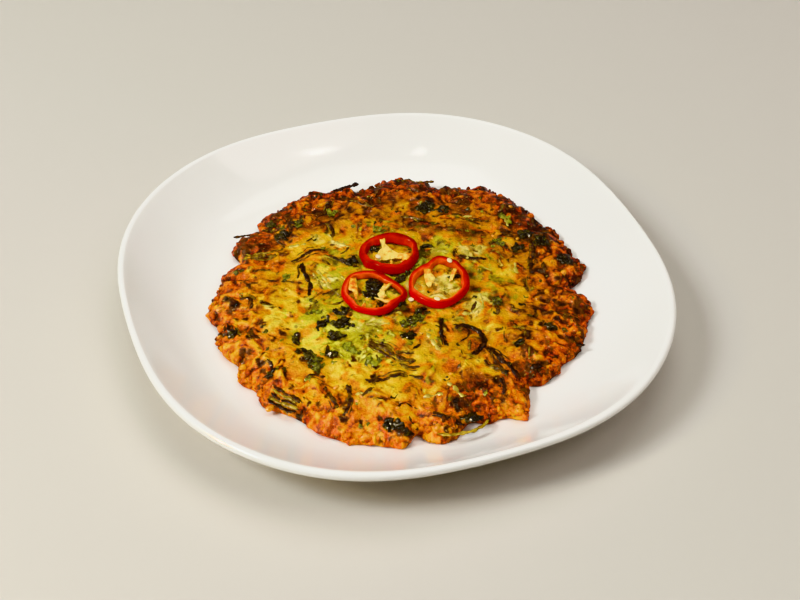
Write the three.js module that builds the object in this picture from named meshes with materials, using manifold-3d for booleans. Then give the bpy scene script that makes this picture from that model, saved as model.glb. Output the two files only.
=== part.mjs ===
// A mung bean pancake on its plate, with three slices of red chilli on top.
// Millimetres, +Z up. The origin is under the middle of the plate, level with its foot. -Y faces the diner.

import * as THREE from "three";
import { mergeVertices } from "three/addons/utils/BufferGeometryUtils.js";
import Module from "manifold-3d";

// The plate: a ten inch coupe plate in white glazed porcelain, a square with full, soft corners.
const PLATE_ACROSS_CORNERS = 253.6;
const PLATE_ACROSS_FLATS = 240;
const PLATE_CORNER_AT = THREE.MathUtils.degToRad(65.9);
const PLATE_CORNER_BLUNTING = 0.35;
const PLATE_HEIGHT = 26;
const WELL_HEIGHT = 6;
const WELL_RADIUS = 86;
const WALL_BEND_RADIUS = 98.5;
const WALL_SLOPE = THREE.MathUtils.degToRad(42);
const PLATE_THICKNESS = 3.8;
const FOOT_RADIUS = 68;
const FOOT_WIDTH = 4;
const FOOT_DEPTH = 2.2;
const PLATE_SEGMENTS = 64;

// The pancake: a thick ladle of batter, crisp and craggy at the rim. Its top is a grid of square cells.
const PANCAKE_CENTRE = new THREE.Vector2(3.6, -2.5);
const PANCAKE_RADIUS = 86;
const PANCAKE_THICKNESS = 9.4;
const RIM_THICKNESS = 5;
const RESTING_GAP = 0.35;
const GRID_CELLS = 32;

// Long soft swells of its top: height (mm), waves for each mm along X and along Y (radians), and phase.
const SWELLS = [
  [0.45, 0.17, 0.07, 0.6], [0.4, -0.11, 0.19, 2.1], [0.35, 0.36, 0.27, 4], [0.3, -0.42, 0.31, 1],
];
const SWELLS_START = 25;
const SWELLS_FULL = 45;

// A fine frill round its rim: height (mm), waves in one turn, and phase.
const FRILLS = [[0.9, 23, 1.3], [0.7, 37, 4.1]];

// How the pancake's rim departs from a circle: where (degrees), how far out (mm) and how wide (degrees).
const RIM_LOBES = [
  [20, 2, 5], [33, 2, 9], [60, 6, 14], [77, -5, 5], [89, 2.5, 6], [98, 2, 3], [108, -6, 8],
  [121, 3, 4], [149, -4, 4], [166, -8, 8], [179, -2, 6], [199, -1.5, 4], [213, -2, 5],
  [231, 2.5, 4], [256, 5, 14], [272, 4.5, 2.5], [276, -4, 2.2], [283, 3.5, 3.5], [293, -4.5, 6],
  [306, 6, 2.2], [316, -9, 3.5], [328, -6, 8], [346, -2.5, 3.5], [6, -11, 3.5],
];

// The chilli slices: centre, wall thickness, slice thickness and the outline's radius every 45 degrees.
const CHILLI_BACK = {
  centre: [-2.8, 18.3], wall: 2.8, thick: 3.4, radii: [14, 14.4, 13.9, 13, 13.8, 12.8, 12.2, 13],
};
const CHILLI_LEFT = {
  centre: [-8.6, -9.4], wall: 2.4, thick: 2.7, radii: [15.2, 12.3, 14.4, 15.8, 14.7, 13.2, 13.4, 12.3],
};
const CHILLI_RIGHT = {
  centre: [20.5, -1.3], wall: 2.6, thick: 3.4, radii: [14.1, 15.2, 17.6, 13.3, 13.6, 15.2, 16.2, 13.8],
};
const STRAY_SEED = [8.2, -11.8];
const CHILLI_SEGMENTS = 32;
const CHILLI_CORNER = 0.6;

// Shreds of bracken and scallion in the top: start, heading (degrees), length, bend (degrees), width.
const SHREDS = [
  [-47.7, 12.4, 45, 18.5, -25, 2.2], [-42.7, 10.6, -85, 23, -5, 2.4], [-29.5, 16.8, -33, 13, 8, 2],
  [23, -23.8, -115, 20, 60, 2], [27.3, -28.6, 20, 29, -165, 2.8], [41.3, -33.8, -62, 29, 30, 3],
  [39.7, -48.4, -32, 12, -20, 2.2], [-9, -63.8, 25, 25, -50, 2.4], [-9.8, -40.5, -10, 23, -12, 2.4],
  [-32, 60.8, -104, 12.5, 0, 2.6], [64.5, 34.9, -85, 25, -15, 2.6], [29.8, 18.8, -2, 13, -10, 2.2],
  [-70.2, 18.2, -14, 16, 12, 3], [-17.7, -65.3, -65, 17.5, -60, 2.6], [-26.2, -69.2, -60, 10.5, -12, 2.4],
];

// Shreds that reach out past the rim: start, heading (degrees), length, bend (degrees), width.
const RIM_SHREDS = [
  [-60, 38.5, -165, 18, -4, 1.7], [2, 79, 18, 17, -10, 1.8], [-33, 71, 30, 16, 4, 2.6],
  [66, 55, -58, 12, -6, 2.4], [20, -88, -22, 26, 90, 1.7], [78, -30, -28, 7, 0, 2.2],
];

// Scallion leaves and charred lumps that stand proud: centre, length, width, turn (degrees).
const LUMPS = [
  [-22.6, -20.4, 6, 5, 20], [-30, -27.5, 6.5, 5, 60], [-21, -29.5, 8, 6, 10], [-24, -36.5, 7, 4, -10],
  [9.4, -25.3, 12, 6.5, 45], [-33, -54.5, 12, 7, -55], [-26, -47.8, 7, 3.5, -10],
  [-43, -73.5, 13, 6.5, -32], [2.8, -85, 12, 6, -25], [34, -79, 9, 5, -10], [-52.2, 30.2, 6, 5, 0],
  [14, 56, 9, 6, 30], [22.5, 54, 7, 6, -40], [68.5, 35.5, 7, 6, 0], [77, 22, 6, 5, 30],
  [62.6, 40.1, 6, 5, 20], [-37.7, -46.6, 7.5, 3.4, 0], [-45.5, 39.7, 9, 8, 70],
];

// Crisp crags round the rim: how many, their least and greatest radius, and the band they sit in.
const RIM_CRAGS = 50;
const CRAG_LEAST = 1.8;
const CRAG_MOST = 3.5;
const CRAG_BAND = [0.94, 0.995];

const wasm = await Module();
wasm.setup();

// A closed three.js geometry as a solid that can be joined and cut.
function solidOf(geometry) {
  const bare = geometry.index ? geometry.toNonIndexed() : geometry.clone();
  bare.deleteAttribute("normal");
  bare.deleteAttribute("uv");
  const merged = mergeVertices(bare, 1e-4);
  return new wasm.Manifold(
    new wasm.Mesh({
      numProp: 3,
      vertProperties: merged.attributes.position.array,
      triVerts: new Uint32Array(merged.index.array),
    }),
  );
}

// A solid back as a flat-shaded geometry, without any scrap that hangs free of the main body.
function geometryOf(solid) {
  const whole = solid.decompose().reduce((a, b) => (a.volume() > b.volume() ? a : b));
  const mesh = whole.getMesh();
  const geometry = new THREE.BufferGeometry();
  geometry.setAttribute("position", new THREE.BufferAttribute(mesh.vertProperties, 3));
  geometry.setIndex(new THREE.BufferAttribute(mesh.triVerts, 1));
  const facets = geometry.toNonIndexed();
  facets.computeVertexNormals();
  return facets;
}

// A surface as a geometry, from its points and its triangles.
function surface(points, triangles) {
  const geometry = new THREE.BufferGeometry();
  geometry.setAttribute("position", new THREE.Float32BufferAttribute(points.flat(), 3));
  geometry.setIndex(triangles);
  return geometry;
}

// Numbers from 0 to 1 that are the same in every run.
function seededRandom(seed) {
  let state = seed;
  return () => {
    state = (state * 1103515245 + 12345) % 2147483648;
    return state / 2147483648;
  };
}

function material(colour, roughness) {
  return new THREE.MeshStandardMaterial({ color: colour, roughness, metalness: 0 });
}

const PLATE_RADIUS = (PLATE_ACROSS_CORNERS + PLATE_ACROSS_FLATS) / 4 + PLATE_CORNER_BLUNTING;

function plateReach(angle) {
  const fromCorner = angle - PLATE_CORNER_AT;
  const corner = (PLATE_ACROSS_CORNERS - PLATE_ACROSS_FLATS) / 4;
  const round = PLATE_RADIUS - PLATE_CORNER_BLUNTING * Math.cos(8 * fromCorner);
  return round + corner * Math.cos(4 * fromCorner);
}

// How much further out than on a round plate a point lies: nothing in the middle, all of it at the rim.
function plateStretch(angle, radius) {
  return 1 + (radius / PLATE_RADIUS) ** 3 * (plateReach(angle) / PLATE_RADIUS - 1);
}

const LIP_RADIUS = PLATE_THICKNESS / 2;
const LIP = new THREE.Vector2(PLATE_RADIUS - LIP_RADIUS, PLATE_HEIGHT - LIP_RADIUS);
const WALL_NORMAL = new THREE.Vector2(-Math.sin(WALL_SLOPE), Math.cos(WALL_SLOPE));
const WALL_TOP = LIP.clone().addScaledVector(WALL_NORMAL, LIP_RADIUS);

// The height of the plate's upper face, by the curve that joins the flat well to the sloping wall.
function plateTop(x, y) {
  const distance = Math.hypot(x, y);
  const radius = distance / plateStretch(Math.atan2(y, x), distance);
  if (radius <= WELL_RADIUS) return WELL_HEIGHT;
  const bend = 2 * (WALL_BEND_RADIUS - WELL_RADIUS);
  const curve = WALL_TOP.x - WELL_RADIUS - bend;
  const share = (Math.sqrt(bend * bend + 4 * curve * (radius - WELL_RADIUS)) - bend) / (2 * curve);
  return WELL_HEIGHT + (WALL_TOP.y - WELL_HEIGHT) * share * share;
}

// The plate: its section turned about the middle, then stretched to its soft square outline.
function makePlate() {
  const underside = WELL_HEIGHT - PLATE_THICKNESS;
  const lower = LIP.clone().addScaledVector(WALL_NORMAL, -LIP_RADIUS);
  const section = new THREE.Path();
  section.moveTo(0, underside);
  section.lineTo(FOOT_RADIUS - FOOT_WIDTH, underside);
  section.lineTo(FOOT_RADIUS - FOOT_WIDTH / 2, underside - FOOT_DEPTH);
  section.lineTo(FOOT_RADIUS + FOOT_WIDTH / 2, underside - FOOT_DEPTH);
  section.lineTo(FOOT_RADIUS + FOOT_WIDTH, underside);
  section.lineTo(WELL_RADIUS, underside);
  section.quadraticCurveTo(WALL_BEND_RADIUS + 1, underside, lower.x, lower.y);
  section.absarc(LIP.x, LIP.y, LIP_RADIUS, WALL_SLOPE - Math.PI / 2, WALL_SLOPE + Math.PI / 2, false);
  section.quadraticCurveTo(WALL_BEND_RADIUS, WELL_HEIGHT, WELL_RADIUS, WELL_HEIGHT);
  section.lineTo(0, WELL_HEIGHT);

  const geometry = new THREE.LatheGeometry(section.getPoints(4), PLATE_SEGMENTS);
  geometry.rotateX(Math.PI / 2);
  const position = geometry.attributes.position;
  for (let i = 0; i < position.count; i += 1) {
    const x = position.getX(i);
    const y = position.getY(i);
    const stretch = plateStretch(Math.atan2(y, x), Math.hypot(x, y));
    position.setXY(i, x * stretch, y * stretch);
  }
  const mesh = new THREE.Mesh(geometryOf(solidOf(geometry)), material(0xf1ece4, 0.15));
  mesh.name = "plate";
  return mesh;
}

// The distance from the pancake's centre to its rim: a circle, its lobes, and a fine frill.
function rimReach(angle) {
  const degrees = THREE.MathUtils.radToDeg(angle);
  let reach = PANCAKE_RADIUS;
  for (const [height, waves, phase] of FRILLS) reach += height * Math.sin(waves * angle + phase);
  for (const [at, out, width] of RIM_LOBES) {
    const away = THREE.MathUtils.euclideanModulo(degrees - at + 180, 360) - 180;
    reach += out * Math.exp(-((away / width) ** 2));
  }
  return reach;
}

// The swells of the batter, which fade out under the chilli slices in the middle.
function swell(x, y) {
  let height = 0;
  for (const [rise, alongX, alongY, phase] of SWELLS) {
    height += rise * Math.sin(alongX * x + alongY * y + phase);
  }
  return height * THREE.MathUtils.smoothstep(Math.hypot(x, y), SWELLS_START, SWELLS_FULL);
}

// The height of the pancake's top, with share running from 0 at its centre to 1 at its rim.
function pancakeTop(x, y, share) {
  const body = RIM_THICKNESS + (PANCAKE_THICKNESS - RIM_THICKNESS) * Math.sqrt(Math.max(0, 1 - share ** 6));
  return plateTop(x, y) + RESTING_GAP + body + swell(x, y);
}

function shareAt(x, y) {
  const dx = x - PANCAKE_CENTRE.x;
  const dy = y - PANCAKE_CENTRE.y;
  return Math.hypot(dx, dy) / rimReach(Math.atan2(dy, dx));
}

function topAt(x, y) {
  return pancakeTop(x, y, Math.min(1, shareAt(x, y)));
}

// A point of a square from -1 to 1 carried onto the disc, as [share of the reach, angle].
function squareToDisc(a, b) {
  if (a === 0 && b === 0) return [0, 0];
  if (Math.abs(a) > Math.abs(b)) return [a, (Math.PI / 4) * (b / a)];
  return [b, Math.PI / 2 - (Math.PI / 4) * (a / b)];
}

function pointOnDisc(share, angle, height) {
  const reach = share * rimReach(share < 0 ? angle + Math.PI : angle);
  const x = PANCAKE_CENTRE.x + reach * Math.cos(angle);
  const y = PANCAKE_CENTRE.y + reach * Math.sin(angle);
  return [x, y, height(x, y)];
}

function makeBatter() {
  const points = [];
  const triangles = [];
  const at = (i, j) => i * (GRID_CELLS + 1) + j;
  for (let i = 0; i <= GRID_CELLS; i += 1) {
    for (let j = 0; j <= GRID_CELLS; j += 1) {
      const [share, angle] = squareToDisc((2 * i) / GRID_CELLS - 1, (2 * j) / GRID_CELLS - 1);
      points.push(pointOnDisc(share * 0.985, angle, (x, y) => pancakeTop(x, y, Math.abs(share))));
    }
  }
  for (let i = 0; i < GRID_CELLS; i += 1) {
    for (let j = 0; j < GRID_CELLS; j += 1) {
      triangles.push(at(i, j), at(i + 1, j), at(i + 1, j + 1), at(i, j), at(i + 1, j + 1), at(i, j + 1));
    }
  }
  // The rim: the grid's border, then loops that come down and back in under it.
  const border = [];
  for (let i = 0; i < GRID_CELLS; i += 1) border.push(at(i, 0));
  for (let j = 0; j < GRID_CELLS; j += 1) border.push(at(GRID_CELLS, j));
  for (let i = GRID_CELLS; i > 0; i -= 1) border.push(at(i, GRID_CELLS));
  for (let j = GRID_CELLS; j > 0; j -= 1) border.push(at(0, j));
  const loops = [border];
  for (const [share, rise] of [[1, RIM_THICKNESS / 2], [0.975, 0.5], [0.92, 0]]) {
    loops.push(border.map((index) => {
      const [x, y] = points[index];
      const angle = Math.atan2(y - PANCAKE_CENTRE.y, x - PANCAKE_CENTRE.x);
      points.push(pointOnDisc(share, angle, (px, py) => plateTop(px, py) + RESTING_GAP + rise));
      return points.length - 1;
    }));
  }
  for (let k = 0; k + 1 < loops.length; k += 1) {
    loops[k].forEach((a, n) => {
      const b = loops[k][(n + 1) % border.length];
      const c = loops[k + 1][n];
      const d = loops[k + 1][(n + 1) % border.length];
      triangles.push(a, c, b, b, c, d);
    });
  }
  points.push([PANCAKE_CENTRE.x, PANCAKE_CENTRE.y, WELL_HEIGHT + RESTING_GAP]);
  const last = loops[loops.length - 1];
  last.forEach((a, n) => triangles.push(a, points.length - 1, last[(n + 1) % border.length]));
  return solidOf(surface(points, triangles));
}

// A limp strand that lies half sunk in the batter, bending evenly along its length.
function makeShred([startX, startY, heading, length, bend, width], pastRim) {
  const steps = 6;
  const route = [];
  let x = startX;
  let y = startY;
  for (let n = 0; n <= steps; n += 1) {
    const rimTop = plateTop(x, y) + RESTING_GAP + RIM_THICKNESS;
    route.push(new THREE.Vector3(x, y, pastRim ? rimTop + 0.4 : topAt(x, y) + 0.15));
    const turned = THREE.MathUtils.degToRad(heading + (bend * (n + 0.5)) / steps);
    x += (length / steps) * Math.cos(turned);
    y += (length / steps) * Math.sin(turned);
  }
  const section = new THREE.Shape();
  section.absellipse(0, 0, width / 2, width / 2, 0, 2 * Math.PI, false, 0);
  return solidOf(new THREE.ExtrudeGeometry(section, {
    steps, curveSegments: 3, bevelEnabled: false, extrudePath: new THREE.CatmullRomCurve3(route),
  }));
}

function makeLump([x, y, length, width, turn]) {
  const lump = new THREE.SphereGeometry(1, 8, 4);
  lump.rotateX(Math.PI / 2);
  lump.scale(length / 2, width / 2, Math.min(length, width) / 3);
  lump.rotateZ(THREE.MathUtils.degToRad(turn));
  lump.translate(x, y, topAt(x, y) + 0.2);
  return solidOf(lump);
}

// Each crag is a small faceted lump, longer one way than the other, half sunk in the rim.
function makeCrags() {
  const random = seededRandom(7);
  const crags = [];
  for (let n = 0; n < RIM_CRAGS; n += 1) {
    const angle = (2 * Math.PI * (n + 0.8 * random())) / RIM_CRAGS;
    const share = THREE.MathUtils.lerp(...CRAG_BAND, random());
    const size = THREE.MathUtils.lerp(CRAG_LEAST, CRAG_MOST, random());
    const crag = new THREE.IcosahedronGeometry(size, 0);
    crag.scale(1 + 0.6 * random(), 1, 0.7);
    crag.rotateZ(2 * Math.PI * random());
    const rise = THREE.MathUtils.lerp(0.75 * size, RIM_THICKNESS + 0.25 * size, random());
    crag.translate(...pointOnDisc(share, angle, (x, y) => plateTop(x, y) + RESTING_GAP + rise));
    crags.push(solidOf(crag));
  }
  return crags;
}

// The pancake: the batter, with the shreds, lumps and crags that show, and one stray chilli seed.
function makePancake() {
  const pieces = [
    ...SHREDS.map((shred) => makeShred(shred, false)),
    ...RIM_SHREDS.map((shred) => makeShred(shred, true)),
    ...LUMPS.map((lump) => makeLump(lump)),
    ...makeCrags(),
    makeSeed(...STRAY_SEED, topAt(...STRAY_SEED)),
  ];
  const whole = pieces.reduce((joined, piece) => joined.add(piece), makeBatter());
  const mesh = new THREE.Mesh(geometryOf(whole), material(0xb5781f, 0.5));
  mesh.name = "pancake";
  return mesh;
}

// The curve of a slice's outer skin, through its eight radii.
function chilliOutline({ centre, radii }) {
  const points = radii.map((radius, n) => {
    const angle = (n * Math.PI) / 4;
    return new THREE.Vector3(centre[0] + radius * Math.cos(angle), centre[1] + radius * Math.sin(angle), 0);
  });
  return new THREE.CatmullRomCurve3(points, true, "centripetal");
}

// A slice rests on the highest part of the batter that it covers.
function chilliBase(slice) {
  const outline = chilliOutline(slice);
  const heights = outline.getSpacedPoints(CHILLI_SEGMENTS).map((p) => topAt(p.x, p.y));
  return Math.max(...heights) + RESTING_GAP;
}

// The wall of a slice: its section, with the corners taken off, carried round the outline.
function makeChilliWall(slice) {
  const { centre, wall, thick } = slice;
  const base = chilliBase(slice);
  const cut = CHILLI_CORNER;
  const section = [
    [0, cut], [0, thick - cut], [cut, thick], [wall - cut, thick],
    [wall, thick - cut], [wall, cut], [wall - cut, 0], [cut, 0],
  ];
  const outline = chilliOutline(slice);
  const points = [];
  const triangles = [];
  for (let n = 0; n < CHILLI_SEGMENTS; n += 1) {
    const skin = outline.getPoint(n / CHILLI_SEGMENTS);
    const inward = new THREE.Vector2(centre[0] - skin.x, centre[1] - skin.y).normalize();
    section.forEach(([depth, rise], k) => {
      points.push([skin.x + inward.x * depth, skin.y + inward.y * depth, base + rise]);
      const a = n * section.length + k;
      const b = n * section.length + ((k + 1) % section.length);
      const c = ((n + 1) % CHILLI_SEGMENTS) * section.length + k;
      const d = ((n + 1) % CHILLI_SEGMENTS) * section.length + ((k + 1) % section.length);
      triangles.push(a, c, b, b, c, d);
    });
  }
  return solidOf(surface(points, triangles));
}

// A tag of pith: a thin lobe that hangs on the inside of the wall and droops towards the batter.
function makePith(slice, [x, y, length, width, turn]) {
  const lobe = new THREE.SphereGeometry(1, 8, 4);
  lobe.rotateX(Math.PI / 2);
  lobe.scale(length / 2, width / 2, 0.9);
  lobe.rotateZ(THREE.MathUtils.degToRad(turn));
  lobe.translate(slice.centre[0] + x, slice.centre[1] + y, chilliBase(slice) + slice.thick / 2);
  return solidOf(lobe);
}

// A flat round seed, lying on whatever has its top at the given height.
function makeSeed(x, y, height) {
  const seed = new THREE.IcosahedronGeometry(1, 0);
  seed.scale(1.7, 1.4, 0.8);
  seed.translate(x, y, height + 0.4);
  return solidOf(seed);
}

function makeChilli(name, slice, pith, seeds) {
  const top = chilliBase(slice) + slice.thick;
  const pieces = [
    ...pith.map((tag) => makePith(slice, tag)),
    ...seeds.map(([x, y]) => makeSeed(slice.centre[0] + x, slice.centre[1] + y, top)),
  ];
  const whole = pieces.reduce((joined, piece) => joined.add(piece), makeChilliWall(slice));
  const mesh = new THREE.Mesh(geometryOf(whole), material(0xc8160c, 0.2));
  mesh.name = name;
  return mesh;
}

const meal = new THREE.Group();
meal.add(
  makePlate(),
  makePancake(),
  makeChilli("chilli_back", CHILLI_BACK,
    [[-3, 6, 13, 5, -62], [1.5, 0, 13, 7, -12], [7.5, -0.5, 10, 4.5, 0]], []),
  makeChilli("chilli_left", CHILLI_LEFT,
    [[-9.5, 1, 8.5, 3.6, 78], [6, 3.8, 10, 3.6, 42], [5.5, -3.5, 12, 3.4, -12]], []),
  makeChilli("chilli_right", CHILLI_RIGHT,
    [[-4.5, 6.2, 11, 4.6, -72], [7.5, 8.5, 10, 3.2, 62]], [[4.6, 13.2], [-2.6, -13.8]]),
);

export default meal;
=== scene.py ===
# A mung bean pancake on its plate, with slices of red chilli on top.
import math

import bmesh
import bpy
import numpy as np
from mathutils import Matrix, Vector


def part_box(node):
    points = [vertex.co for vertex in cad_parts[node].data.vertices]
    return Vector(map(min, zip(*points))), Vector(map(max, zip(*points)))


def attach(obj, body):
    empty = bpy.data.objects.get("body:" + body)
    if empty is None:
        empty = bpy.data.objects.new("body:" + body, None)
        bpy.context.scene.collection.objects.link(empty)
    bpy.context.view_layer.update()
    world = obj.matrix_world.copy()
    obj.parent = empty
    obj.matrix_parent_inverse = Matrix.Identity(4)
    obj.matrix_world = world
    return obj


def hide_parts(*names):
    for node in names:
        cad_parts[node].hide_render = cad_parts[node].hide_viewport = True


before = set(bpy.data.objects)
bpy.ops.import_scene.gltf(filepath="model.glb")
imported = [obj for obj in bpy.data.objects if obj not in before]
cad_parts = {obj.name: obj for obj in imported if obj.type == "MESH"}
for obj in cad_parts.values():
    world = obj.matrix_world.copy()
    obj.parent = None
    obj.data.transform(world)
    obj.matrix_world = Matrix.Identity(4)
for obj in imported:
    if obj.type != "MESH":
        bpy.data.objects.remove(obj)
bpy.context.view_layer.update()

# Plate
# A ten inch coupe plate in white porcelain: pressed clay, fired, dipped in clear glaze and fired again.
# It is a square with full, soft corners, and it stands on a foot ring whose edge was wiped bare of glaze.

MM = 0.001
PLATE_ACROSS_CORNERS = 253.6
PLATE_ACROSS_FLATS = 240
PLATE_CORNER_AT = math.radians(65.9)
PLATE_CORNER_BLUNTING = 0.35
PLATE_RADIUS = (PLATE_ACROSS_CORNERS + PLATE_ACROSS_FLATS) / 4 + PLATE_CORNER_BLUNTING
PLATE_HEIGHT = 26
WELL_HEIGHT = 6
WELL_RADIUS = 86
WALL_BEND_RADIUS = 98.5
WALL_SLOPE = math.radians(42)
PLATE_THICKNESS = 3.8
LIP_RADIUS = PLATE_THICKNESS / 2
FOOT_RADIUS = 68
FOOT_WIDTH = 4
BARE_FOOT_HEIGHT = 0.5
PLATE_SEGMENTS = 288


def linear(code):
    """An sRGB hex colour as linear red, green, blue and alpha."""
    parts = [int(code[n:n + 2], 16) / 255 for n in (1, 3, 5)]
    return [p / 12.92 if p < 0.04045 else ((p + 0.055) / 1.055) ** 2.4 for p in parts] + [1]


def add(tree, kind, inputs=None, out=0, stops=(), **settings):
    """Adds a node with its settings, inputs and colour stops, and returns one of its outputs."""
    made = tree.nodes.new(kind)
    for name, value in settings.items():
        setattr(made, name, value)
    for name, value in (inputs or {}).items():
        if isinstance(value, bpy.types.NodeSocket):
            tree.links.new(value, made.inputs[name])
        else:
            made.inputs[name].default_value = value
    for n, (place, code) in enumerate(stops):
        stop = made.color_ramp.elements[n] if n < 2 else made.color_ramp.elements.new(place)
        stop.position = place
        stop.color = linear(code)
    return made.outputs[out]


def new_material(name):
    """A material with an empty node tree, and where a point of the object is, in metres."""
    material = bpy.data.materials.new(name)
    material.use_nodes = True
    tree = material.node_tree
    tree.nodes.clear()
    return material, tree, add(tree, "ShaderNodeTexCoord", out="Object")


def cover(tree, shader):
    """Makes the shader the material's surface."""
    output = tree.nodes.new("ShaderNodeOutputMaterial")
    tree.links.new(shader, output.inputs["Surface"])


def make_piece(name, points, faces, material, masks=None):
    """A smooth-shaded mesh of points in millimetres, which rides with the plate."""
    mesh = bpy.data.meshes.new(name)
    mesh.from_pydata((np.asarray(points) * MM).tolist(), [], faces)
    for mask, values in (masks or {}).items():
        spread = np.broadcast_to(values, len(points)).astype(float)
        mesh.attributes.new(mask, "FLOAT", "POINT").data.foreach_set("value", spread)
    mesh.shade_smooth()
    mesh.materials.append(material)
    piece = bpy.data.objects.new(name, mesh)
    bpy.context.scene.collection.objects.link(piece)
    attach(piece, "root")
    return piece


def plate_reach(angle):
    """The distance from the middle of the plate to its rim."""
    turn = angle - PLATE_CORNER_AT
    corner = (PLATE_ACROSS_CORNERS - PLATE_ACROSS_FLATS) / 4
    return PLATE_RADIUS - PLATE_CORNER_BLUNTING * np.cos(8 * turn) + corner * np.cos(4 * turn)


def plate_stretch(angle, radius):
    """How much further out than on a round plate a point lies."""
    return 1 + (radius / PLATE_RADIUS) ** 3 * (plate_reach(angle) / PLATE_RADIUS - 1)


lip = np.array([PLATE_RADIUS - LIP_RADIUS, PLATE_HEIGHT - LIP_RADIUS])
across_wall = LIP_RADIUS * np.array([-math.sin(WALL_SLOPE), math.cos(WALL_SLOPE)])
wall_top = lip + across_wall


def plate_top(x, y):
    """The height of the plate's upper face."""
    distance = np.hypot(x, y)
    radius = np.maximum(distance / plate_stretch(np.arctan2(y, x), distance), WELL_RADIUS)
    bend = 2 * (WALL_BEND_RADIUS - WELL_RADIUS)
    curve = wall_top[0] - WELL_RADIUS - bend
    share = (np.sqrt(bend ** 2 + 4 * curve * (radius - WELL_RADIUS)) - bend) / (2 * curve)
    return WELL_HEIGHT + (wall_top[1] - WELL_HEIGHT) * share ** 2


def bend_through(start, corner, end, count):
    """Points on a smooth bend from start to end, pulled towards the corner."""
    t = np.linspace(0, 1, count)[:, None]
    return (1 - t) ** 2 * np.array(start) + 2 * t * (1 - t) * np.array(corner) + t ** 2 * np.array(end)


def plate_section():
    """The plate's section from the middle of its underside, round the lip, to the middle of its well."""
    under = WELL_HEIGHT - PLATE_THICKNESS
    inside, outside = FOOT_RADIUS - FOOT_WIDTH / 2, FOOT_RADIUS + FOOT_WIDTH / 2
    around = np.linspace(WALL_SLOPE - math.pi / 2, WALL_SLOPE + math.pi / 2, 13)[1:-1]
    parts = [
        [(0, under), (30, under), (inside - 3, under)],
        bend_through((inside - 2.5, under), (inside - 1, under), (inside - 0.6, under - 1), 5),
        bend_through((inside - 0.4, 0.9), (inside, 0), (inside + 0.8, 0), 5),
        bend_through((outside - 0.8, 0), (outside, 0), (outside + 0.4, 0.9), 5),
        bend_through((outside + 0.6, under - 1), (outside + 1, under), (outside + 2.5, under), 5),
        bend_through((WELL_RADIUS, under), (WALL_BEND_RADIUS + 1, under), lip - across_wall, 22),
        lip + LIP_RADIUS * np.stack([np.cos(around), np.sin(around)], 1),
        bend_through(wall_top, (WALL_BEND_RADIUS, WELL_HEIGHT), (WELL_RADIUS, WELL_HEIGHT), 26),
        [(70, WELL_HEIGHT), (45, WELL_HEIGHT), (20, WELL_HEIGHT), (0, WELL_HEIGHT)],
    ]
    return np.concatenate([np.asarray(part, float) for part in parts])


def turn_section(section, segments):
    """Turns a section that starts and ends on the axis, stretched to the plate's outline."""
    rings = len(section) - 2
    angle = np.arange(segments) * 2 * math.pi / segments
    radius = section[1:-1, 0][:, None]
    reach = radius * plate_stretch(angle[None, :], radius)
    height = np.broadcast_to(section[1:-1, 1][:, None], reach.shape)
    body = np.stack([reach * np.cos(angle), reach * np.sin(angle), height], 2).reshape(-1, 3)
    points = np.concatenate([body, [[0, 0, section[0, 1]], [0, 0, section[-1, 1]]]])
    low, high = len(points) - 2, len(points) - 1
    faces = []
    for ring in range(rings - 1):
        for n in range(segments):
            a, b = ring * segments + n, ring * segments + (n + 1) % segments
            faces.append((a, b, b + segments, a + segments))
    for n in range(segments):
        after = (n + 1) % segments
        faces.append((low, after, n))
        faces.append((high, (rings - 1) * segments + n, (rings - 1) * segments + after))
    return points, faces


# Glazed porcelain, smooth and hard: a warm white body under clear glaze, whose mirror-like sheen wavers.
# The foot's edge is bare fired clay, a little greyer and dull.
glaze, tree, where = new_material("glazed_porcelain")
ripple = add(tree, "ShaderNodeTexNoise", {"Vector": where, "Scale": 1 / (24 * MM), "Detail": 1})
pinholes = add(tree, "ShaderNodeTexNoise", {"Vector": where, "Scale": 1 / (1.6 * MM), "Detail": 2})
body_tint = add(tree, "ShaderNodeTexNoise", {"Vector": where, "Scale": 1 / (60 * MM), "Detail": 2})
height = add(tree, "ShaderNodeSeparateXYZ", {"Vector": where}, out="Z")
glazed = add(tree, "ShaderNodeMapRange", {
    "Value": height, "From Min": (BARE_FOOT_HEIGHT - 0.1) * MM, "From Max": (BARE_FOOT_HEIGHT + 0.1) * MM})
white = add(tree, "ShaderNodeValToRGB", {"Fac": body_tint}, stops=[(0.3, "#F0EEE9"), (0.7, "#F4F2EE")])
clay = add(tree, "ShaderNodeValToRGB", {"Fac": pinholes}, stops=[(0.35, "#C9BFB2"), (0.65, "#DAD2C6")])
colour = add(tree, "ShaderNodeMix", {0: glazed, 6: clay, 7: white}, out=2, data_type="RGBA")
gloss = add(tree, "ShaderNodeMapRange", {"Value": glazed, "To Min": 0.75, "To Max": 0.11})
waver = add(tree, "ShaderNodeBump", {"Height": ripple, "Strength": 0.25, "Distance": 0.6 * MM})
pitted = add(tree, "ShaderNodeBump", {
    "Height": pinholes, "Strength": 0.04, "Distance": 0.1 * MM, "Normal": waver})
cover(tree, add(tree, "ShaderNodeBsdfPrincipled", {
    "Base Color": colour, "Roughness": gloss, "IOR": 1.5, "Normal": pitted}))

plate_points, plate_faces = turn_section(plate_section(), PLATE_SEGMENTS)
plate = make_piece("plate_porcelain", plate_points, plate_faces, glaze)
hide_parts("plate")


# Batter
# Ground mung beans and rice with chopped bracken, bean sprouts and scallion, ladled into hot oil and turned
# once. The middle stays soft and green-gold, and the rim fries to a brown, craggy crust.

PANCAKE_CENTRE = np.array([3.6, -2.5])
PANCAKE_RADIUS = 86
PANCAKE_THICKNESS = 9.4
RIM_THICKNESS = 5
RESTING_GAP = 0.35
SWELLS_START = 25
SWELLS_FULL = 45
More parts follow.
